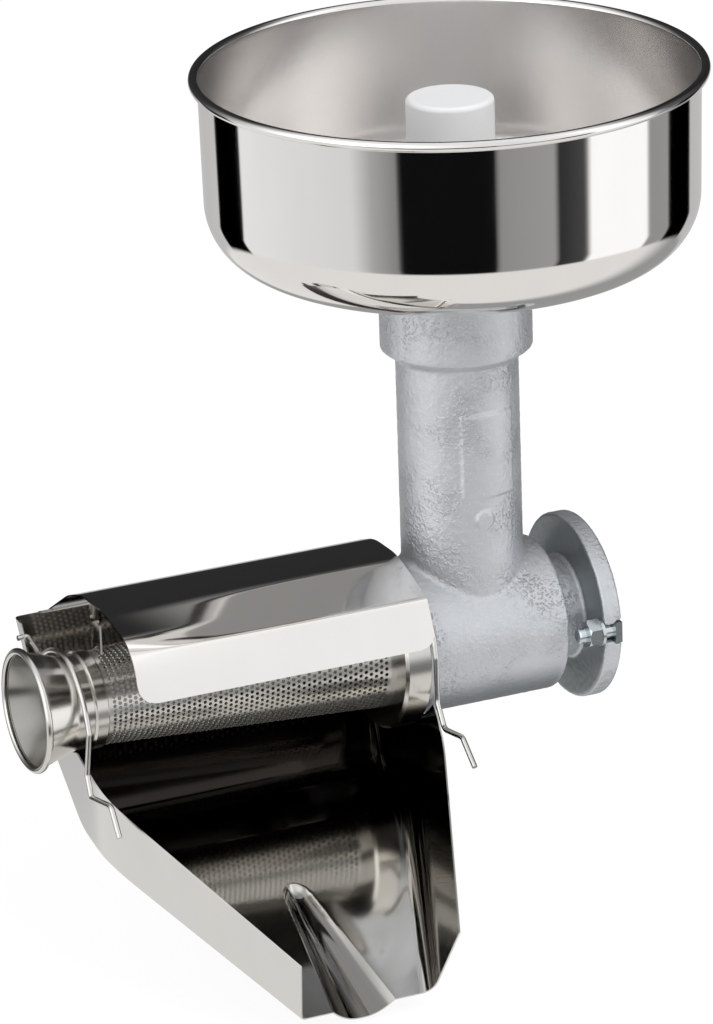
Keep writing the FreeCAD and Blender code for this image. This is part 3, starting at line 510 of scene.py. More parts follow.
# the funnel's inside: the satin steel of its outside, darkened as painted shade in the hollow
FUNNEL_INSIDE_SHADED = BrushedSteel("satin_funnel", (0.46, 0.455, 0.43, 1.0), 0.22, grain=LATHE_GRAIN)
WIRE = BrushedSteel("drawn_wire", (0.72, 0.71, 0.69, 1.0), 0.18)
STEEL = BrushedSteel("machined_steel", (0.60, 0.60, 0.60, 1.0), 0.24, grain=LATHE_GRAIN)
ZINC = BrushedSteel("zinc_plate", (0.66, 0.72, 0.75, 1.0), 0.20)
BRONZE = BrushedSteel("bush_bronze", (0.55, 0.36, 0.16, 1.0), 0.28, grain=LATHE_GRAIN)
CAST = SandCast("cast_aluminium", (0.65, 0.67, 0.70, 1.0), 0.42)
TURNED = MachinedCast("turned_aluminium", (0.40, 0.43, 0.44, 1.0), 0.42)
WHITE = MouldedPlastic("white_plastic", (0.93, 0.94, 0.95, 1.0), 0.32)
AUGER_WHITE = MouldedPlastic("auger_plastic", (0.80, 0.79, 0.76, 1.0), 0.40)
RUBBER = DarkRubber("seal_rubber", (0.03, 0.03, 0.03, 1.0), 0.55)

CAD_FINISHES: dict[str, Finish] = {
    "bayonet_pins": STEEL, "rear_bush": BRONZE, "shaft_seal": RUBBER, "flange_bolts": ZINC,
    "flange_washers": ZINC, "flange_nuts": ZINC, "strainer_gasket": RUBBER, "strainer_collar": SATIN,
    "strainer_end_ring": SATIN, "drive_shaft": STEEL, "drive_pin": STEEL, "thrust_washer": STEEL,
    "shaft_circlip": STEEL, "spring_seat": STEEL, "thrust_spring": WIRE, "auger": AUGER_WHITE,
    "hopper_spout": BOWL_INSIDE, "cover_stay_left": MIRROR, "cover_stay_right": MIRROR,
    "left_bail": WIRE, "right_bail": WIRE, "plunger": WHITE,
}


class Body(Enum):
    """The bodies that dressed pieces ride on."""

    HOUSING = "housing"
    HOPPER = "hopper"
    COVER = "cover"


# ---- meshes -------------------------------------------------------------------------------
class Axis(Enum):
    """What a turned piece is turned about."""

    BARREL = "barrel"
    NECK = "neck"


NECK_X = -66.0
SHARP = math.radians(35.0)
TINY = 1e-9
HOLE_SIDES = 8
LIP_ROWS = 4


class Mesher:
    """Makes objects from points in millimetres."""

    @staticmethod
    def piece(name: str, points: Iterable[Point3], faces: Sequence[Sequence[int]],
              finishes: Sequence[Finish], slots: Sequence[int] | None = None,
              sharp: float = SHARP) -> bpy.types.Object:
        """Make a smooth-shaded object.

        Args:
            name: the object's name.
            points: its vertices, in millimetres.
            faces: vertex numbers of each face.
            finishes: the finishes it wears.
            slots: which finish each face wears, or none for the first.
            sharp: edges that turn by more than this stay sharp.

        Returns:
            The new object, linked to the scene.
        """
        mesh = bpy.data.meshes.new(name)
        mesh.from_pydata([(x * MM, y * MM, z * MM) for x, y, z in points], [], faces)
        mesh.update()
        for finish in finishes:
            mesh.materials.append(finish.material())
        if slots is not None:
            mesh.polygons.foreach_set("material_index", list(slots))
        mesh.shade_smooth()
        mesh.set_sharp_from_angle(angle=sharp)
        made = bpy.data.objects.new(name, mesh)
        bpy.context.scene.collection.objects.link(made)
        return made

    @staticmethod
    def round_off(points: Sequence[Point2], radii: Sequence[float], steps: int = 10) -> list[Point2]:
        """Round the inner corners of an open outline.

        Args:
            points: the outline's corners.
            radii: the radius of each inner corner.
            steps: how many pieces each round has.

        Returns:
            The outline with its rounds.
        """
        made = [points[0]]
        for last, corner, ahead, radius in zip(points, points[1:-1], points[2:], radii):
            here = Vector(corner)
            back = (Vector(last) - here).normalized()
            forth = (Vector(ahead) - here).normalized()
            half = back.angle(forth) / 2
            reach = radius / math.tan(half)
            centre = here + (back + forth).normalized() * (radius / math.sin(half))
            start = here + back * reach - centre
            turn = start.angle_signed(here + forth * reach - centre)
            for i in range(steps + 1):
                spoke = Matrix.Rotation(-turn * i / steps, 2) @ start
                made.append(tuple(centre + spoke))
        return made + [points[-1]]

    @staticmethod
    def held(points: Sequence[Point2], guard: float = 0.5) -> list[Point2]:
        """Put a point near each end of an outline's long straights, so that they shade flat.

        Args:
            points: the outline.
            guard: how far from the ends the points lie.

        Returns:
            The outline with these points.
        """
        made = [points[0]]
        for a, b in zip(points, points[1:]):
            length = math.dist(a, b)
            shares = [1.0]
            if length > 4 * guard:
                shares = [guard / length, 1 - guard / length, 1.0]
            made.extend((a[0] + (b[0] - a[0]) * t, a[1] + (b[1] - a[1]) * t) for t in shares)
        return made

    @staticmethod
    def even(points: Sequence[Point2], count: int) -> list[Point2]:
        """Cut an outline again into equal lengths.

        Args:
            points: the outline.
            count: how many lengths.

        Returns:
            The outline's new points.
        """
        lengths = [0.0]
        for a, b in zip(points, points[1:]):
            lengths.append(lengths[-1] + math.dist(a, b))
        made = []
        at = 0
        for i in range(count + 1):
            want = lengths[-1] * i / count
            while at < len(points) - 2 and lengths[at + 1] < want:
                at += 1
            share = (want - lengths[at]) / max(lengths[at + 1] - lengths[at], TINY)
            a, b = points[at], points[at + 1]
            made.append((a[0] + (b[0] - a[0]) * share, a[1] + (b[1] - a[1]) * share))
        return made

    @classmethod
    def turned(cls, name: str, outline: Sequence[Point2], axis: Axis, finishes: Sequence[Finish],
               wears: Callable[[int], int] = lambda i: 0, around: int = 192) -> bpy.types.Object:
        """Turn a closed outline about an axis.

        Args:
            name: the object's name.
            outline: (place along the axis, radius) points in order, closed by the last.
            axis: what it is turned about.
            finishes: the finishes it wears.
            wears: outline edge number to finish number.
            around: how many facets there are round the axis.

        Returns:
            The new object.
        """
        points: list[Point3] = []
        for i in range(around):
            angle = 2 * math.pi * i / around
            c, s = math.cos(angle), math.sin(angle)
            for along, radius in outline:
                if axis is Axis.BARREL:
                    points.append((along, radius * c, radius * s))
                else:
                    points.append((NECK_X + radius * c, radius * s, along))
        size = len(outline)
        faces, slots = [], []
        for i in range(around):
            j = (i + 1) % around
            for k in range(size):
                m = (k + 1) % size
                face = (i * size + k, j * size + k, j * size + m, i * size + m)
                faces.append(face if axis is Axis.NECK else face[::-1])
                slots.append(wears(k))
        made = cls.piece(name, points, faces, finishes, slots)
        return cls.facing_out(made)

    @staticmethod
    def facing_out(made: bpy.types.Object) -> bpy.types.Object:
        """Turn a closed object's faces outwards.

        Args:
            made: the object.

        Returns:
            The same object.
        """
        work = bmesh.new()
        work.from_mesh(made.data)
        bmesh.ops.recalc_face_normals(work, faces=work.faces)
        work.to_mesh(made.data)
        work.free()
        return made

    @staticmethod
    def offset(points: Sequence[Point2], distance: float) -> list[Point2]:
        """Move an open outline to its left.

        Args:
            points: the outline.
            distance: how far.

        Returns:
            The moved outline.
        """
        made = []
        for i, point in enumerate(points):
            before = Vector(points[max(i - 1, 0)])
            after = Vector(points[min(i + 1, len(points) - 1)])
            way = (after - before).normalized()
            made.append((point[0] - way.y * distance, point[1] + way.x * distance))
        return made

    @classmethod
    def sheet(cls, name: str, grids: Sequence[Sequence[Sequence[Point3]]], thickness: float,
              finishes: Sequence[Finish]) -> bpy.types.Object:
        """Make a sheet from grids of points on one face.

        Args:
            name: the object's name.
            grids: each a list of rows of equally many points.
            thickness: the sheet's thickness along the faces' normals, with its sign.
            finishes: the finish of that face, and then the other face's where it has its own.

        Returns:
            The sheet, with its thickness applied.
        """
        points: list[Point3] = []
        faces = []
        for rows in grids:
            start, wide = len(points), len(rows[0])
            points.extend(point for row in rows for point in row)
            for i in range(len(rows) - 1):
                for j in range(wide - 1):
                    a = start + i * wide + j
                    faces.append((a, a + 1, a + wide + 1, a + wide))
        made = cls.piece(name, points, faces, finishes)
        thick = made.modifiers.new("thickness", "SOLIDIFY")
        thick.thickness = abs(thickness) * MM
        thick.offset = math.copysign(1.0, thickness)
        thick.use_even_offset = True
        thick.material_offset = len(finishes) - 1
        return cls.applied(made)

    @staticmethod
    def applied(made: bpy.types.Object) -> bpy.types.Object:
        """Give an object the mesh that its modifiers make, and drop them.

        Args:
            made: the object.

        Returns:
            The same object.
        """
        graph = bpy.context.evaluated_depsgraph_get()
        mesh = bpy.data.meshes.new_from_object(made.evaluated_get(graph), depsgraph=graph)
        made.modifiers.clear()
        made.data = mesh
        mesh.shade_smooth()
        mesh.set_sharp_from_angle(angle=SHARP)
        return made


def dress(piece: bpy.types.Object, body: Body, slot: str, *nodes: str) -> bpy.types.Object:
    """Seat a piece.

    Args:
        piece: the dressed piece.
        body: the body it rides on.
        slot: the name of a finish slot; not used.
        nodes: the solids it stands for.

    Returns:
        The same piece.
    """
    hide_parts(*nodes)
    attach(piece, body.value)
    LOG.info("%s: %d faces", piece.name, len(piece.data.polygons))
    return piece


# ---- sub-assemblies -----------------------------------------------------------------------
@dataclass
class Hopper:
    """Spun bowl with a rolled rim; it and its spout lift out of the casting's collar."""

    sheet: float = 0.8
    foot: Point2 = (187.0, 26.1)
    knee: Point2 = (202.3, 122.6)
    rim_z: float = 292.3
    rim_r: float = 124.0
    knee_round: float = 33.0
    knee_steps: int = 40
    bead: float = 2.6
    bead_steps: int = 30
    around: int = 320

    def bowl(self) -> bpy.types.Object:
        """Make the bowl: polished outside, satin inside.

        Returns:
            The bowl.
        """
        inner_r = self.rim_r - self.sheet
        centre_r = inner_r + self.bead
        meet = math.acos((self.rim_r - centre_r) / self.bead)
        meet_z = self.rim_z - self.bead * math.sin(meet)
        corners = [self.foot, self.knee, (meet_z, self.rim_r)]
        outside = Mesher.held(Mesher.round_off(corners, [self.knee_round], self.knee_steps))
        rim = []
        for i in range(1, self.bead_steps + 1):
            angle = -meet + (math.pi + meet) * i / self.bead_steps
            rim.append((self.rim_z + self.bead * math.sin(angle), centre_r + self.bead * math.cos(angle)))
        inside = Mesher.offset(outside, -self.sheet)[:-1][::-1]
        outline = outside + rim + inside
        turn = len(outside) + len(rim) - 1
        return Mesher.turned("bowl", outline, Axis.NECK, [BOWL_MIRROR, BOWL_INSIDE],
                             lambda k: 1 if k >= turn else 0, self.around)

    def build(self) -> None:
        """Make and seat the bowl."""
        dress(self.bowl(), Body.HOPPER, "hopper_steel", "hopper_bowl")


@dataclass
class Screen:
    """Perforated cone with a plain lip at each end: rings of cells, shifted by half a cell."""

    big: Point2 = (-120.0, 32.5)
    small: Point2 = (-271.0, 23.5)
    big_lip: float = -116.2
    small_lip: float = -275.0
    margin: float = 2.6
    sheet: float = 0.8
    pitch: float = 3.2
    hole: float = 0.98
    hole_turn: float = 225.0

    def __post_init__(self) -> None:
        """Work out where the cells start and end, and how many fit."""
        self.start, self.end = self.big[0] - self.margin, self.small[0] + self.margin
        self.around = round(2 * math.pi * self.big[1] / self.pitch)
        self.rings = round((self.start - self.end) / (self.pitch * math.sqrt(3) / 2))

    def radius(self, x: float) -> float:
        """Outer radius of the cone at a place along the axis."""
        share = (x - self.big[0]) / (self.small[0] - self.big[0])
        return self.big[1] + (self.small[1] - self.big[1]) * min(max(share, 0.0), 1.0)

    def build(self) -> None:
        """Make and seat the screen."""
        points: list[Point3] = []
        faces: list[Face] = []
        for inset in (0.0, self.sheet):
            self._layer(points, faces, inset)
        self._walls(faces, len(points) // 2)
        made = Mesher.piece("screen", points, faces, [SCREEN_STEEL])
        dress(Mesher.facing_out(made), Body.HOUSING, "sheet_steel", "strainer_screen")

    def _layer(self, points: list[Point3], faces: list[Face], inset: float) -> None:
        """Add one skin of the screen, with a hole in each cell, and its plain lips.

        Args:
            points: the points so far, which it adds to.
            faces: the faces so far, which it adds to.
            inset: how far the skin lies below the outer one.
        """
        base, half = len(points), 2 * self.around

        def put(x: float, turns: float) -> int:
            """Add a point.

            Args:
                x: its place along the axis.
                turns: how many cells it lies round the axis.

            Returns:
                Its number.
            """
            angle = 2 * math.pi * turns / self.around
            radius = self.radius(x) - inset
            points.append((x, radius * math.cos(angle), radius * math.sin(angle)))
            return len(points) - 1

        width = (self.start - self.end) / self.rings
        for i in range(self.rings + 1):
            for j in range(half):
                put(self.start - width * i, j / 2)
        for x in (self.big[0], self.big_lip, self.small[0], self.small_lip):
            for j in range(half):
                put(x, j / 2)
        for i in range(self.rings):
            shift = i % 2
            middle = self.start - width * (i + 0.5)
            scale = self.radius(middle) - inset
            sides = [put(middle, j + shift / 2) for j in range(self.around)]
            for j in range(self.around):
                first = 2 * j + shift
                near = [base + i * half + (first + k) % half for k in range(3)]
                far = [base + (i + 1) * half + (first + k) % half for k in range(3)]
                rim = [near[0], near[1], near[2], sides[(j + 1) % self.around],
                       far[2], far[1], far[0], sides[j]]
                hole = []
                for k in range(HOLE_SIDES):
                    angle = math.radians(self.hole_turn + 360.0 / HOLE_SIDES * k)
                    off = self.hole * math.cos(angle) * self.around / (2 * math.pi * scale)
                    hole.append(put(middle - self.hole * math.sin(angle), j + shift / 2 + 0.5 + off))
                for k in range(HOLE_SIDES):
                    m = (k + 1) % HOLE_SIDES
                    faces.append((rim[k], rim[m], hole[m], hole[k]))
        lips = base + (self.rings + 1) * half
        belts = [(lips + half, lips), (lips, base), (base + self.rings * half, lips + 2 * half),
                 (lips + 2 * half, lips + 3 * half)]
        for a, b in belts:
            for j in range(half):
                m = (j + 1) % half
                faces.append((a + j, a + m, b + m, b + j))

    def _walls(self, faces: list[Face], layer: int) -> None:
        """Join the two skins round the holes and at the ends of the lips.

        Args:
            faces: the faces so far, which it adds to.
            layer: how many points a skin has.
        """
        half = 2 * self.around
        lips = (self.rings + 1) * half
        loops = []
        for i in range(self.rings):
            row = lips + LIP_ROWS * half + i * (HOLE_SIDES + 1) * self.around + self.around
            loops.extend((row + j * HOLE_SIDES, HOLE_SIDES) for j in range(self.around))
        loops += [(lips + half, half), (lips + 3 * half, half)]
        for first, size in loops:
            for k in range(size):
                a, b = first + k, first + (k + 1) % size
                faces.append((a, b, b + layer, a + layer))


@dataclass
class Funnel:
    """Outlet neck with a flared mouth and a rolled rim."""

    start: Point2 = (-275.05, 23.5)
    ring: Point2 = (-277.5, 23.5)
    neck: Point2 = (-287.0, 24.4)
    flare: Point2 = (-303.0, 29.6)
    sheet: float = 0.9
    bead: float = 1.8
    bead_in: float = 1.3
    bead_arc: Point2 = (-60.0, 300.0)
    bead_steps: int = 24
    bead_meet: float = 0.6
    rim_r: float = 31.6
    rounds: Point2 = (8.0, 14.0)

    def build(self) -> None:
        """Make and seat the funnel."""
        centre = (self.flare[0] - self.bead_in, self.rim_r - self.bead)
        corners = [self.start, self.ring, self.neck, self.flare]
        outside = Mesher.held(Mesher.round_off(corners, self.rounds))
        rim = []
        for i in range(self.bead_steps + 1):
            angle = math.radians(self.bead_arc[0] + self.bead_arc[1] * i / self.bead_steps)
            rim.append((centre[0] + self.bead * math.cos(angle), centre[1] + self.bead * math.sin(angle)))
        rim = [point for point in rim if point[0] < self.flare[0] + self.bead_meet]
        outline = outside + rim + Mesher.offset(outside, self.sheet)[::-1]
        turn = len(outside) + len(rim) - 1
        made = Mesher.turned("funnel", outline, Axis.BARREL, [SATIN, FUNNEL_INSIDE_SHADED],
                             lambda k: 1 if k >= turn else 0)
        dress(made, Body.HOUSING, "sheet_steel", "outlet_funnel")


@dataclass
class SplashCover:
    """Bent sheet over the screen: bowed at the funnel's end, with a flat flap along its front."""

    ends: Point2 = (-268.5, -109.0)
    outline: list[Point2] = field(default_factory=lambda: [
        (57.0, 26.9), (30.0, 43.4), (12.0, 50.0), (-15.0, 50.6), (-49.5, 39.0), (-60.5, 17.0)])
    rounds: tuple[float, ...] = (40.0, 45.0, 45.0, 3.0)
    bowed: list[Point2] = field(default_factory=lambda: [
        (57.0, 26.9), (30.0, 43.4), (12.0, 50.0), (-15.0, 50.6), (-53.0, 43.5), (-60.5, 17.0)])
    bowed_rounds: tuple[float, ...] = (40.0, 45.0, 60.0, 22.0)
    bow_reach: float = 0.62
    sheet: float = 0.8
    corner: float = 9.0
    across: int = 72
    along: int = 150
    round_steps: int = 12

    def build(self) -> None:
        """Make and seat the cover."""
        folded = self.cut(self.outline, self.rounds)
        bowed = self.cut(self.bowed, self.bowed_rounds)
        rows = []
        for i, (fold, bow) in enumerate(zip(folded, bowed)):
            left = math.dist(fold, folded[-1])
            cut = 0.0
            if left < self.corner and i > len(folded) // 2:
                cut = self.corner - math.sqrt(self.corner ** 2 - (self.corner - left) ** 2)
            x0, x1 = self.ends[0] + cut, self.ends[1] - cut
            row = []
            for j in range(self.across + 1):
                x = x0 + (x1 - x0) * j / self.across
                share = (x - self.ends[0]) / (self.ends[1] - self.ends[0]) / self.bow_reach
                fade = max(1.0 - share, 0.0) ** 2
                row.append((x, fold[0] + (bow[0] - fold[0]) * fade, fold[1] + (bow[1] - fold[1]) * fade))
            rows.append(row)
        made = Mesher.sheet("cover", [rows], -self.sheet, [COVER_MIRROR])
        dress(made, Body.COVER, "sheet_steel", "splash_cover")

    def cut(self, outline: Sequence[Point2], rounds: Sequence[float]) -> list[Point2]:
        """An outline with its rounds, in equal lengths."""
        return Mesher.even(Mesher.round_off(outline, rounds, self.round_steps), self.along)


@dataclass
class Trough:
    """Bent-sheet juice trough: basin, side walls, chute and pressed pouring gutter."""

    middle: float = -191.7
    half: float = 94.8
    lean: float = 0.166
    spread: float = 0.058
    back: list[Point2] = field(default_factory=lambda: [
        (51.5, 29.0), (50.5, 8.0), (47.0, -17.0), (30.5, -43.5), (9.5, -73.0), (-26.0, -80.0),
        (-146.0, -124.5)])
    rounds: tuple[float, ...] = (30.0, 40.0, 60.0, 16.0, 20.0)
    flange: Point2 = (44.5, 31.1)
    flange_round: float = 1.5
    flange_foot: float = 3.0
    flange_short: float = 12.0
    top_fold: Point2 = (-44.0, -34.5)
    corner: Point2 = (-163.5, -88.0)
    corner_half: float = 41.7
    lip_shift: float = 1.2
    lip_half: float = 35.0
    ear: float = 9.0
    ear_foot_z: float = 6.0
    sheet: float = 0.8
    crease: float = 2.0
    crease_reach: float = 8.0
    bends: Point2 = (2.2, 7.0)
    bend_limit: float = 0.6
    least_reach: float = 0.001
    left_notch: Point2 = (24.7, 62.0)
    right_notch: Point2 = (41.2, 38.0)
    notch_start: float = -35.0
    notch_steps: int = 24
    notch_shares: Point2 = (0.16, 0.27)
    ear_share: float = 0.08
    fold_share: float = 0.50
    floor_steps: int = 160
    wall_steps: int = 21
    bow_steps: int = 10
    path_steps: int = 230
    round_steps: int = 14
    flange_steps: int = 20
    flange_round_steps: int = 6
    gutter_shift: float = -2.0
    gutter_start: float = -62.0
    gutter_half: float = 16.5
    gutter_depth: float = 7.8
    gutter_tip: float = 6.0
    gutter_tip_depth: float = 3.4
    gutter_nose: float = 0.10
    least_half: float = 0.01
    gutter_flat: float = 2.4
    gutter_round: float = 1.1

    def width(self, side: int, y: float, z: float) -> float:
        """Work out how far a side wall's outer face lies from the basin's middle plane.

        Args:
            side: -1 for the left wall and 1 for the right.
            y: a place across the trough.
            z: its height.

        Returns:
            The distance.
        """
        basin = self.half + z * self.lean - y * self.spread
        lip = Vector((self.lip_shift * side + self.lip_half, *self.back[-1]))
        corner = Vector((self.lip_shift * side + self.corner_half, *self.corner))
        fy, fz = self.top_fold
        fold = Vector((self.half + fz * self.lean - fy * self.spread, fy, fz))
        normal = (corner - lip).cross(fold - lip)
        chute = lip.x - (normal.y * (y - lip.y) + normal.z * (z - lip.z)) / normal.x
        gap = (basin - chute) / self.crease
        if abs(gap) > self.crease_reach:
            return min(basin, chute)
        return min(basin, chute) - self.crease * math.log(1 + math.exp(-abs(gap)))

    def top_edge(self, side: int) -> list[tuple[Point2, float]]:
        """Lay out a wall's top edge, with its notch of a radius that ends so far below level.

        Args:
            side: -1 for the left wall and 1 for the right.

        Returns:
            The edge's corners, each with the share of the floor's path that it faces.
        """
        radius, drop = self.right_notch if side > 0 else self.left_notch
        points = [((self.back[0][0] - self.ear, self.back[0][1]), 0.0),
                  ((self.back[1][0] - self.ear, self.ear_foot_z), self.ear_share)]
        low, high = self.notch_start, -(180.0 - drop)
        first, span = self.notch_shares
        for i in range(self.notch_steps + 1):
            angle = math.radians(low + (high - low) * i / self.notch_steps)
            place = (radius * math.cos(angle), radius * math.sin(angle))
            points.append((place, first + span * i / self.notch_steps))
        return points + [(self.top_fold, self.fold_share), (self.corner, 1.0)]

    @staticmethod
    def facing(edge: Sequence[tuple[Point2, float]], share: float) -> Point2:
        """Find the point of a top edge that faces a share of the floor's path.

        Args:
            edge: the edge, as top_edge gives it.
            share: the share.

        Returns:
            The point.
        """
        for (a, sa), (b, sb) in zip(edge, edge[1:]):
            if share <= sb:
                t = (share - sa) / (sb - sa)
                return (a[0] + (b[0] - a[0]) * t, a[1] + (b[1] - a[1]) * t)
        return edge[-1][0]

    def gutter_drop(self, x: float, y: float) -> float:
        """Work out how deep the pressed gutter is at a place on the chute's floor.

        Args:
            x: the place along the barrel, from the basin's middle plane.
            y: the place across it.

        Returns:
            The depth.
        """
        run = (self.gutter_start - y) / (self.gutter_start - self.back[-1][0])
        if run <= 0:
            return 0.0
        nose = min(run / self.gutter_nose, 1.0)
        swell = math.sqrt(1 - (1 - nose) ** 2)
        half = (self.gutter_tip + (self.gutter_half - self.gutter_tip) * run) * swell
        depth = (self.gutter_tip_depth + (self.gutter_depth - self.gutter_tip_depth) * run) * swell
        off = abs(x - (self.lip_shift + self.gutter_shift)) / max(half, self.least_half)
        if off >= 1.0:
            return 0.0
        return depth * (1 - off ** self.gutter_flat) ** self.gutter_round

    def row(self, point: Point2, share: float, normal: Vector) -> list[Point3]:
        """Lay out one row of the trough's outer face, from wall top to wall top across the floor.

        Args:
            point: where the row crosses the middle plane.
            share: how far along the floor's path that is.
            normal: the floor's downward normal there.

        Returns:
            The row's points.
        """
        y, z = point
        halves = {}
        for side, bend in zip((-1, 1), self.bends):
            top = self.facing(self.top_edge(side), share)
            reach = max(math.dist(point, top), self.least_reach)
            bend = min(bend, reach * self.bend_limit)
            line = []
            for i in range(self.wall_steps + 1):
                t = bend / reach + (1 - bend / reach) * i / self.wall_steps
                wy, wz = y + (top[0] - y) * t, z + (top[1] - z) * t
                line.append((side * self.width(side, wy, wz), wy, wz))
            foot = self.width(side, y, z)
            corner = Vector((side * foot, y, z))
            start = Vector((side * (foot - bend), y, z))
            end = Vector(line[0])
            bow = []
            for i in range(1, self.bow_steps):
                t = i / self.bow_steps
                bow.append(tuple(start * (1 - t) ** 2 + corner * 2 * t * (1 - t) + end * t * t))
            halves[side] = (foot - bend, bow + line)
        left, right = -halves[-1][0], halves[1][0]
        floor = []
        for i in range(self.floor_steps + 1):
            x = left + (right - left) * i / self.floor_steps
            drop = self.gutter_drop(x, y)
            floor.append((x, y + normal.x * drop, z + normal.y * drop))
        row = halves[-1][1][::-1] + floor + halves[1][1]
        return [(x + self.middle, py, pz) for x, py, pz in row]

    def top_flange(self) -> list[list[Point3]]:
        """Lay out the flange along the back wall's top.

        Returns:
            Its rows, from its front edge to the wall.
        """
        corners = [self.flange, self.back[0], (self.back[0][0], self.back[0][1] - self.flange_foot)]
        reach = self.width(1, *self.back[0]) - self.flange_short
        steps = range(2 * self.flange_steps + 1)
        rows = []
        for y, z in Mesher.held(Mesher.round_off(corners, [self.flange_round], self.flange_round_steps)):
            rows.append([(self.middle + reach * (i / self.flange_steps - 1), y, z) for i in steps])
        return rows

    def build(self) -> None:
        """Make and seat the trough."""
        path = Mesher.even(Mesher.round_off(self.back, self.rounds, self.round_steps), self.path_steps)
        rows = []
        for i, point in enumerate(path):
            before = Vector(path[max(i - 1, 0)])
            after = Vector(path[min(i + 1, len(path) - 1)])
            way = (after - before).normalized()
            normal = Vector((way.y, -way.x))
            if normal.y > 0:
                normal = -normal
            rows.append(self.row(point, i / (len(path) - 1), normal))
        made = Mesher.sheet("trough", [rows, self.top_flange()], self.sheet, [TROUGH_OUT, TROUGH_IN])
        dress(made, Body.HOUSING, "trough_steel", "juice_trough")


@dataclass
class Casting:
    """Cast body: a softened, slightly rough copy of its solid."""

    voxel: float = 0.85
    lumps: float = 0.16
    lump_size: float = 2.6
    collar_x: float = -102.0
    flange_x: float = -1.5
    barrel_skin: float = 37.0
    neck_skin: float = 28.5
    boss_r: float = 27.0
    boss_skin: float = 24.0
    boss_x: float = -26.0
    neck_z: float = 42.0
    face_x: float = -12.0
    face_slope: float = 0.8
    bore_skin: float = 32.5
    bore_start: float = -27.0
    soft_share: float = 0.5
    soft_times: int = 2
    sharp: float = 60.0

    def build(self) -> None:
        """Make and seat the casting."""
        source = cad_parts["body_casting"]
        made = bpy.data.objects.new("casting", source.data.copy())
        made.data.materials.clear()
        bpy.context.scene.collection.objects.link(made)
        again = made.modifiers.new("skin", "REMESH")
        again.mode = "VOXEL"
        again.voxel_size = self.voxel * MM
        soft = made.modifiers.new("soft", "SMOOTH")
        soft.factor = self.soft_share
        soft.iterations = self.soft_times
        Mesher.applied(made)
        for finish in (CAST, TURNED):
            made.data.materials.append(finish.material())
        self._roughen(made.data)
        self._machine(made.data)
        made.data.set_sharp_from_angle(angle=math.radians(self.sharp))
        dress(made, Body.HOUSING, "cast_body", "body_casting")

    def _roughen(self, mesh: bpy.types.Mesh) -> None:
        """Move the cast skin in and out a little.

        Args:
            mesh: the casting's mesh.
        """
        places = [vertex.co.copy() for vertex in mesh.vertices]
        normals = [normal.vector.copy() for normal in mesh.vertex_normals]
        moved: list[float] = []
        for place, normal in zip(places, normals):
            x, y, z = place / MM
            from_barrel = math.hypot(y, z)
            from_neck = math.hypot(x - NECK_X, y)
            barrel_skin = self.boss_skin if x > self.boss_x else self.barrel_skin
            on_skin = from_neck > self.neck_skin if z > self.neck_z else from_barrel > barrel_skin
            if on_skin and self.collar_x <= x <= self.flange_x:
                lump = noise.noise(Vector((x, y, z)) / self.lump_size)
                place = place + normal * (lump * self.lumps - self.lumps) * MM
            moved.extend(place)
        mesh.vertices.foreach_set("co", moved)
        mesh.update()

    def _machine(self, mesh: bpy.types.Mesh) -> None:
        """Give the turned faces their own finish.

        Args:
            mesh: the casting's mesh, which wears the cast finish first and the turned one second.
        """
        for face in mesh.polygons:
            x, y, z = face.center / MM
            radius = math.hypot(y, z)
            turned = x > self.face_x and abs(face.normal.x) > self.face_slope
            flange = turned and radius > self.boss_r
            bore = radius < self.bore_skin and x < self.bore_start
            if flange or bore:
                face.material_index = 1


class Fittings:
    """The solids whose own shape is right: they only get a finish."""

    @staticmethod
    def build() -> None:
        """Dress every solid that is kept."""
        for name, finish in CAD_FINISHES.items():
            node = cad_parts[name]
            node.data.materials.clear()
            node.data.materials.append(finish.material())
            for face in node.data.polygons:
                face.material_index = 0
            LOG.info("%s: kept solid", name)


# ---- studio -------------------------------------------------------------------------------
@dataclass(frozen=True)
class Lamp:
    """A large soft lamp."""

    name: str
    place: Point3
    size: float
    power: float

    def build(self, aim: Point3) -> None:
        """Make the lamp.

        Args:
            aim: the point it shines on.
        """
        data = bpy.data.lights.new(self.name, "AREA")
        data.size = self.size
        data.energy = self.power
        lamp = bpy.data.objects.new(self.name, data)
        lamp.location = self.place
        ahead = Vector(aim) - Vector(self.place)
        lamp.rotation_euler = ahead.to_track_quat("-Z", "Y").to_euler()
        bpy.context.scene.collection.objects.link(lamp)
        lamp.visible_glossy = False


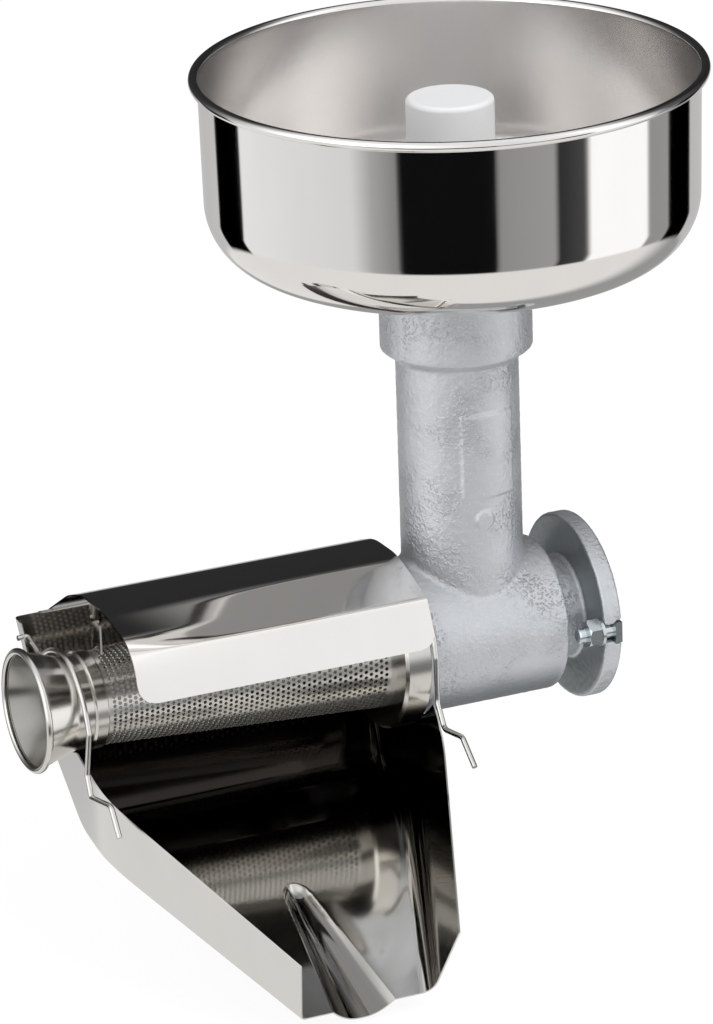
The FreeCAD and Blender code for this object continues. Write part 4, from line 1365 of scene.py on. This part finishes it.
@dataclass(frozen=True)
class Studio:
    """Pale floor, soft lamps, and the cards that polished steel sees."""

    lamps: tuple[Lamp, ...] = (Lamp("key", (0.9, -1.6, 1.9), 1.6, 26.0),
                               Lamp("fill", (-1.9, -0.8, 1.2), 1.4, 9.0))
    lamp_aim: Point3 = (-0.12, 0.0, 0.06)
    floor_drop: float = 0.002
    floor_half: float = 6.0
    floor_tone: float = 0.86
    floor_glow: float = 1.07
    floor_flat: float = 0.84
    ambient: float = 0.70
    # tones that steel sees just below the horizon, by bearing in degrees from -Y towards +X
    low: tuple[Point2, ...] = (
        (-180.0, 0.55), (-162.5, 0.60), (-162.0, 0.0), (-138.4, 0.0), (-138.0, 0.90), (-72.0, 0.76),
        (-62.0, 0.42), (-50.5, 0.26), (-48.9, 0.005), (-4.6, 0.005), (-4.0, 0.30), (12.0, 0.34),
        (23.0, 0.36), (25.0, 0.03), (39.0, 0.07), (42.0, 1.15), (76.0, 1.15), (78.0, 0.32),
        (93.0, 0.34), (94.5, 0.0), (116.5, 0.0), (118.0, 0.55), (180.0, 0.55))
    # tones above the horizon
    high: tuple[Point2, ...] = (
        (-180.0, 0.03), (-160.0, 0.05), (-145.0, 0.20), (-125.0, 0.70), (-95.0, 1.5), (-60.0, 1.7),
        (-35.0, 1.2), (-15.0, 0.90), (5.0, 0.85), (14.0, 0.95), (26.0, 0.99), (36.0, 1.1), (46.0, 1.5),
        (66.0, 0.9), (84.0, 0.12), (110.0, 0.05), (125.0, 0.02), (180.0, 0.03))
    overhead: float = 0.92
    ground: Colour = (0.84, 0.83, 0.81, 1.0)
    ground_behind: float = 0.34
    # heights in degrees over which a tone gives way to the next
    to_ground: Point2 = (-30.0, -26.5)
    to_high: Point2 = (-16.0, -4.0)
    to_overhead: Point2 = (40.0, 67.0)
    # bearings over which the ground darkens behind the part, and over which it grows light again
    behind_from: Point2 = (80.0, 115.0)
    behind_to: Point2 = (170.0, 177.0)

    def world(self) -> None:
        """Background: white to the camera, cards to polished steel, plain light to the rest."""
        world = bpy.data.worlds.new("studio")
        bpy.context.scene.world = world
        net = Net(world)
        x, y, z = net.axes(net.node("ShaderNodeTexCoord", {}, {}, "Generated"))
        bearing = x.apply("ARCTAN2", y * -1.0) / (2 * math.pi) + 0.5
        height = z.apply("ARCSINE") * (180.0 / math.pi)
        belts = []
        for tones in (self.low, self.high):
            stops = [((angle + 180.0) / 360.0, tone) for angle, tone in tones]
            belts.append(net.node("ShaderNodeValToRGB", {"stops": stops}, {"Fac": bearing}, "Color"))
        tone = net.blend(height.step(*self.to_high), belts[0], belts[1])
        tone = net.blend(height.step(*self.to_overhead), tone, grey(self.overhead))
        degrees = bearing * 360.0 - 180.0
        behind = degrees.step(*self.behind_from) * (1.0 - degrees.step(*self.behind_to))
        ground = net.blend(behind, self.ground, grey(self.ground_behind))
        tone = net.blend(1.0 - height.step(*self.to_ground), tone, ground)
        path = net.node("ShaderNodeLightPath", {}, {}, "Is Camera Ray")
        rays = path.socket.node.outputs
        glossy = Sig(net, rays["Is Glossy Ray"]).apply("MAXIMUM", Sig(net, rays["Is Transmission Ray"]))
        colour = net.blend(glossy, grey(self.ambient), tone)
        colour = net.blend(path, colour, grey(1.0))
        light = net.node("ShaderNodeBackground", {}, {"Color": colour, "Strength": 1.0})
        net.node("ShaderNodeOutputWorld", {}, {"Surface": light})

    def floor(self, height: float) -> None:
        """Pale floor that keeps the part's shadow and is clear from below.

        Args:
            height: the part's lowest point, in metres.
        """
        half, z = self.floor_half, height - self.floor_drop
        mesh = bpy.data.meshes.new("floor")
        mesh.from_pydata([(-half, -half, z), (half, -half, z), (half, half, z), (-half, half, z)], [],
                         [(0, 1, 2, 3)])
        finish = bpy.data.materials.new("floor")
        net = Net(finish)
        path = net.node("ShaderNodeLightPath", {}, {}, "Is Camera Ray")
        matt = net.node("ShaderNodeBsdfDiffuse", {}, {"Color": grey(self.floor_tone)})
        white = net.node("ShaderNodeEmission", {}, {"Color": grey(1.0), "Strength": self.floor_glow})
        shown = net.mixed(path * self.floor_flat, matt, white)
        under = net.node("ShaderNodeNewGeometry", {}, {}, "Backfacing")
        shown = net.mixed(under, shown, net.node("ShaderNodeBsdfTransparent", {}, {}))
        net.node("ShaderNodeOutputMaterial", {}, {"Surface": shown})
        mesh.materials.append(finish)
        made = bpy.data.objects.new("floor", mesh)
        bpy.context.scene.collection.objects.link(made)
        made.visible_glossy = False

    def build(self) -> None:
        """Make the world, the lamps and the floor."""
        self.world()
        for lamp in self.lamps:
            lamp.build(self.lamp_aim)
        self.floor(CAD_BOX[0][2])


@dataclass(frozen=True)
class View:
    """The camera: a long lens, a little above the part and to its left."""

    bearing: float = 23.80
    height: float = 20.54
    roll: float = -1.92
    distance: float = 3.173
    aim: Point3 = (-0.1235, 0.0, 0.0715)
    lens: float = 223.24
    sensor: float = 36.0
    reach: float = 50.0

    def build(self) -> None:
        """Make the scene's camera."""
        data = bpy.data.cameras.new("camera")
        data.lens = self.lens
        data.sensor_fit = "VERTICAL"
        data.sensor_height = self.sensor
        data.clip_end = self.reach
        camera = bpy.data.objects.new("camera", data)
        bearing, height = math.radians(self.bearing), math.radians(self.height)
        ahead = Vector((math.cos(height) * math.sin(bearing), math.cos(height) * math.cos(bearing),
                        -math.sin(height)))
        turn = ahead.to_track_quat("-Z", "Y").to_matrix() @ Matrix.Rotation(math.radians(self.roll), 3, "Z")
        camera.matrix_world = Matrix.Translation(Vector(self.aim) - ahead * self.distance) @ turn.to_4x4()
        bpy.context.scene.collection.objects.link(camera)
        bpy.context.scene.camera = camera


def main() -> None:
    """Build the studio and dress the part."""
    logging.basicConfig(level=logging.INFO, format="%(name)s %(message)s")
    bpy.context.scene.view_settings.view_transform = "Standard"
    View().build()
    Fittings.build()
    for assembly in (Casting(), Hopper(), Screen(), Funnel(), Trough(), SplashCover()):
        LOG.info("building %s", type(assembly).__name__)
        assembly.build()
    Studio().build()


if __name__ == "__main__":
    main()
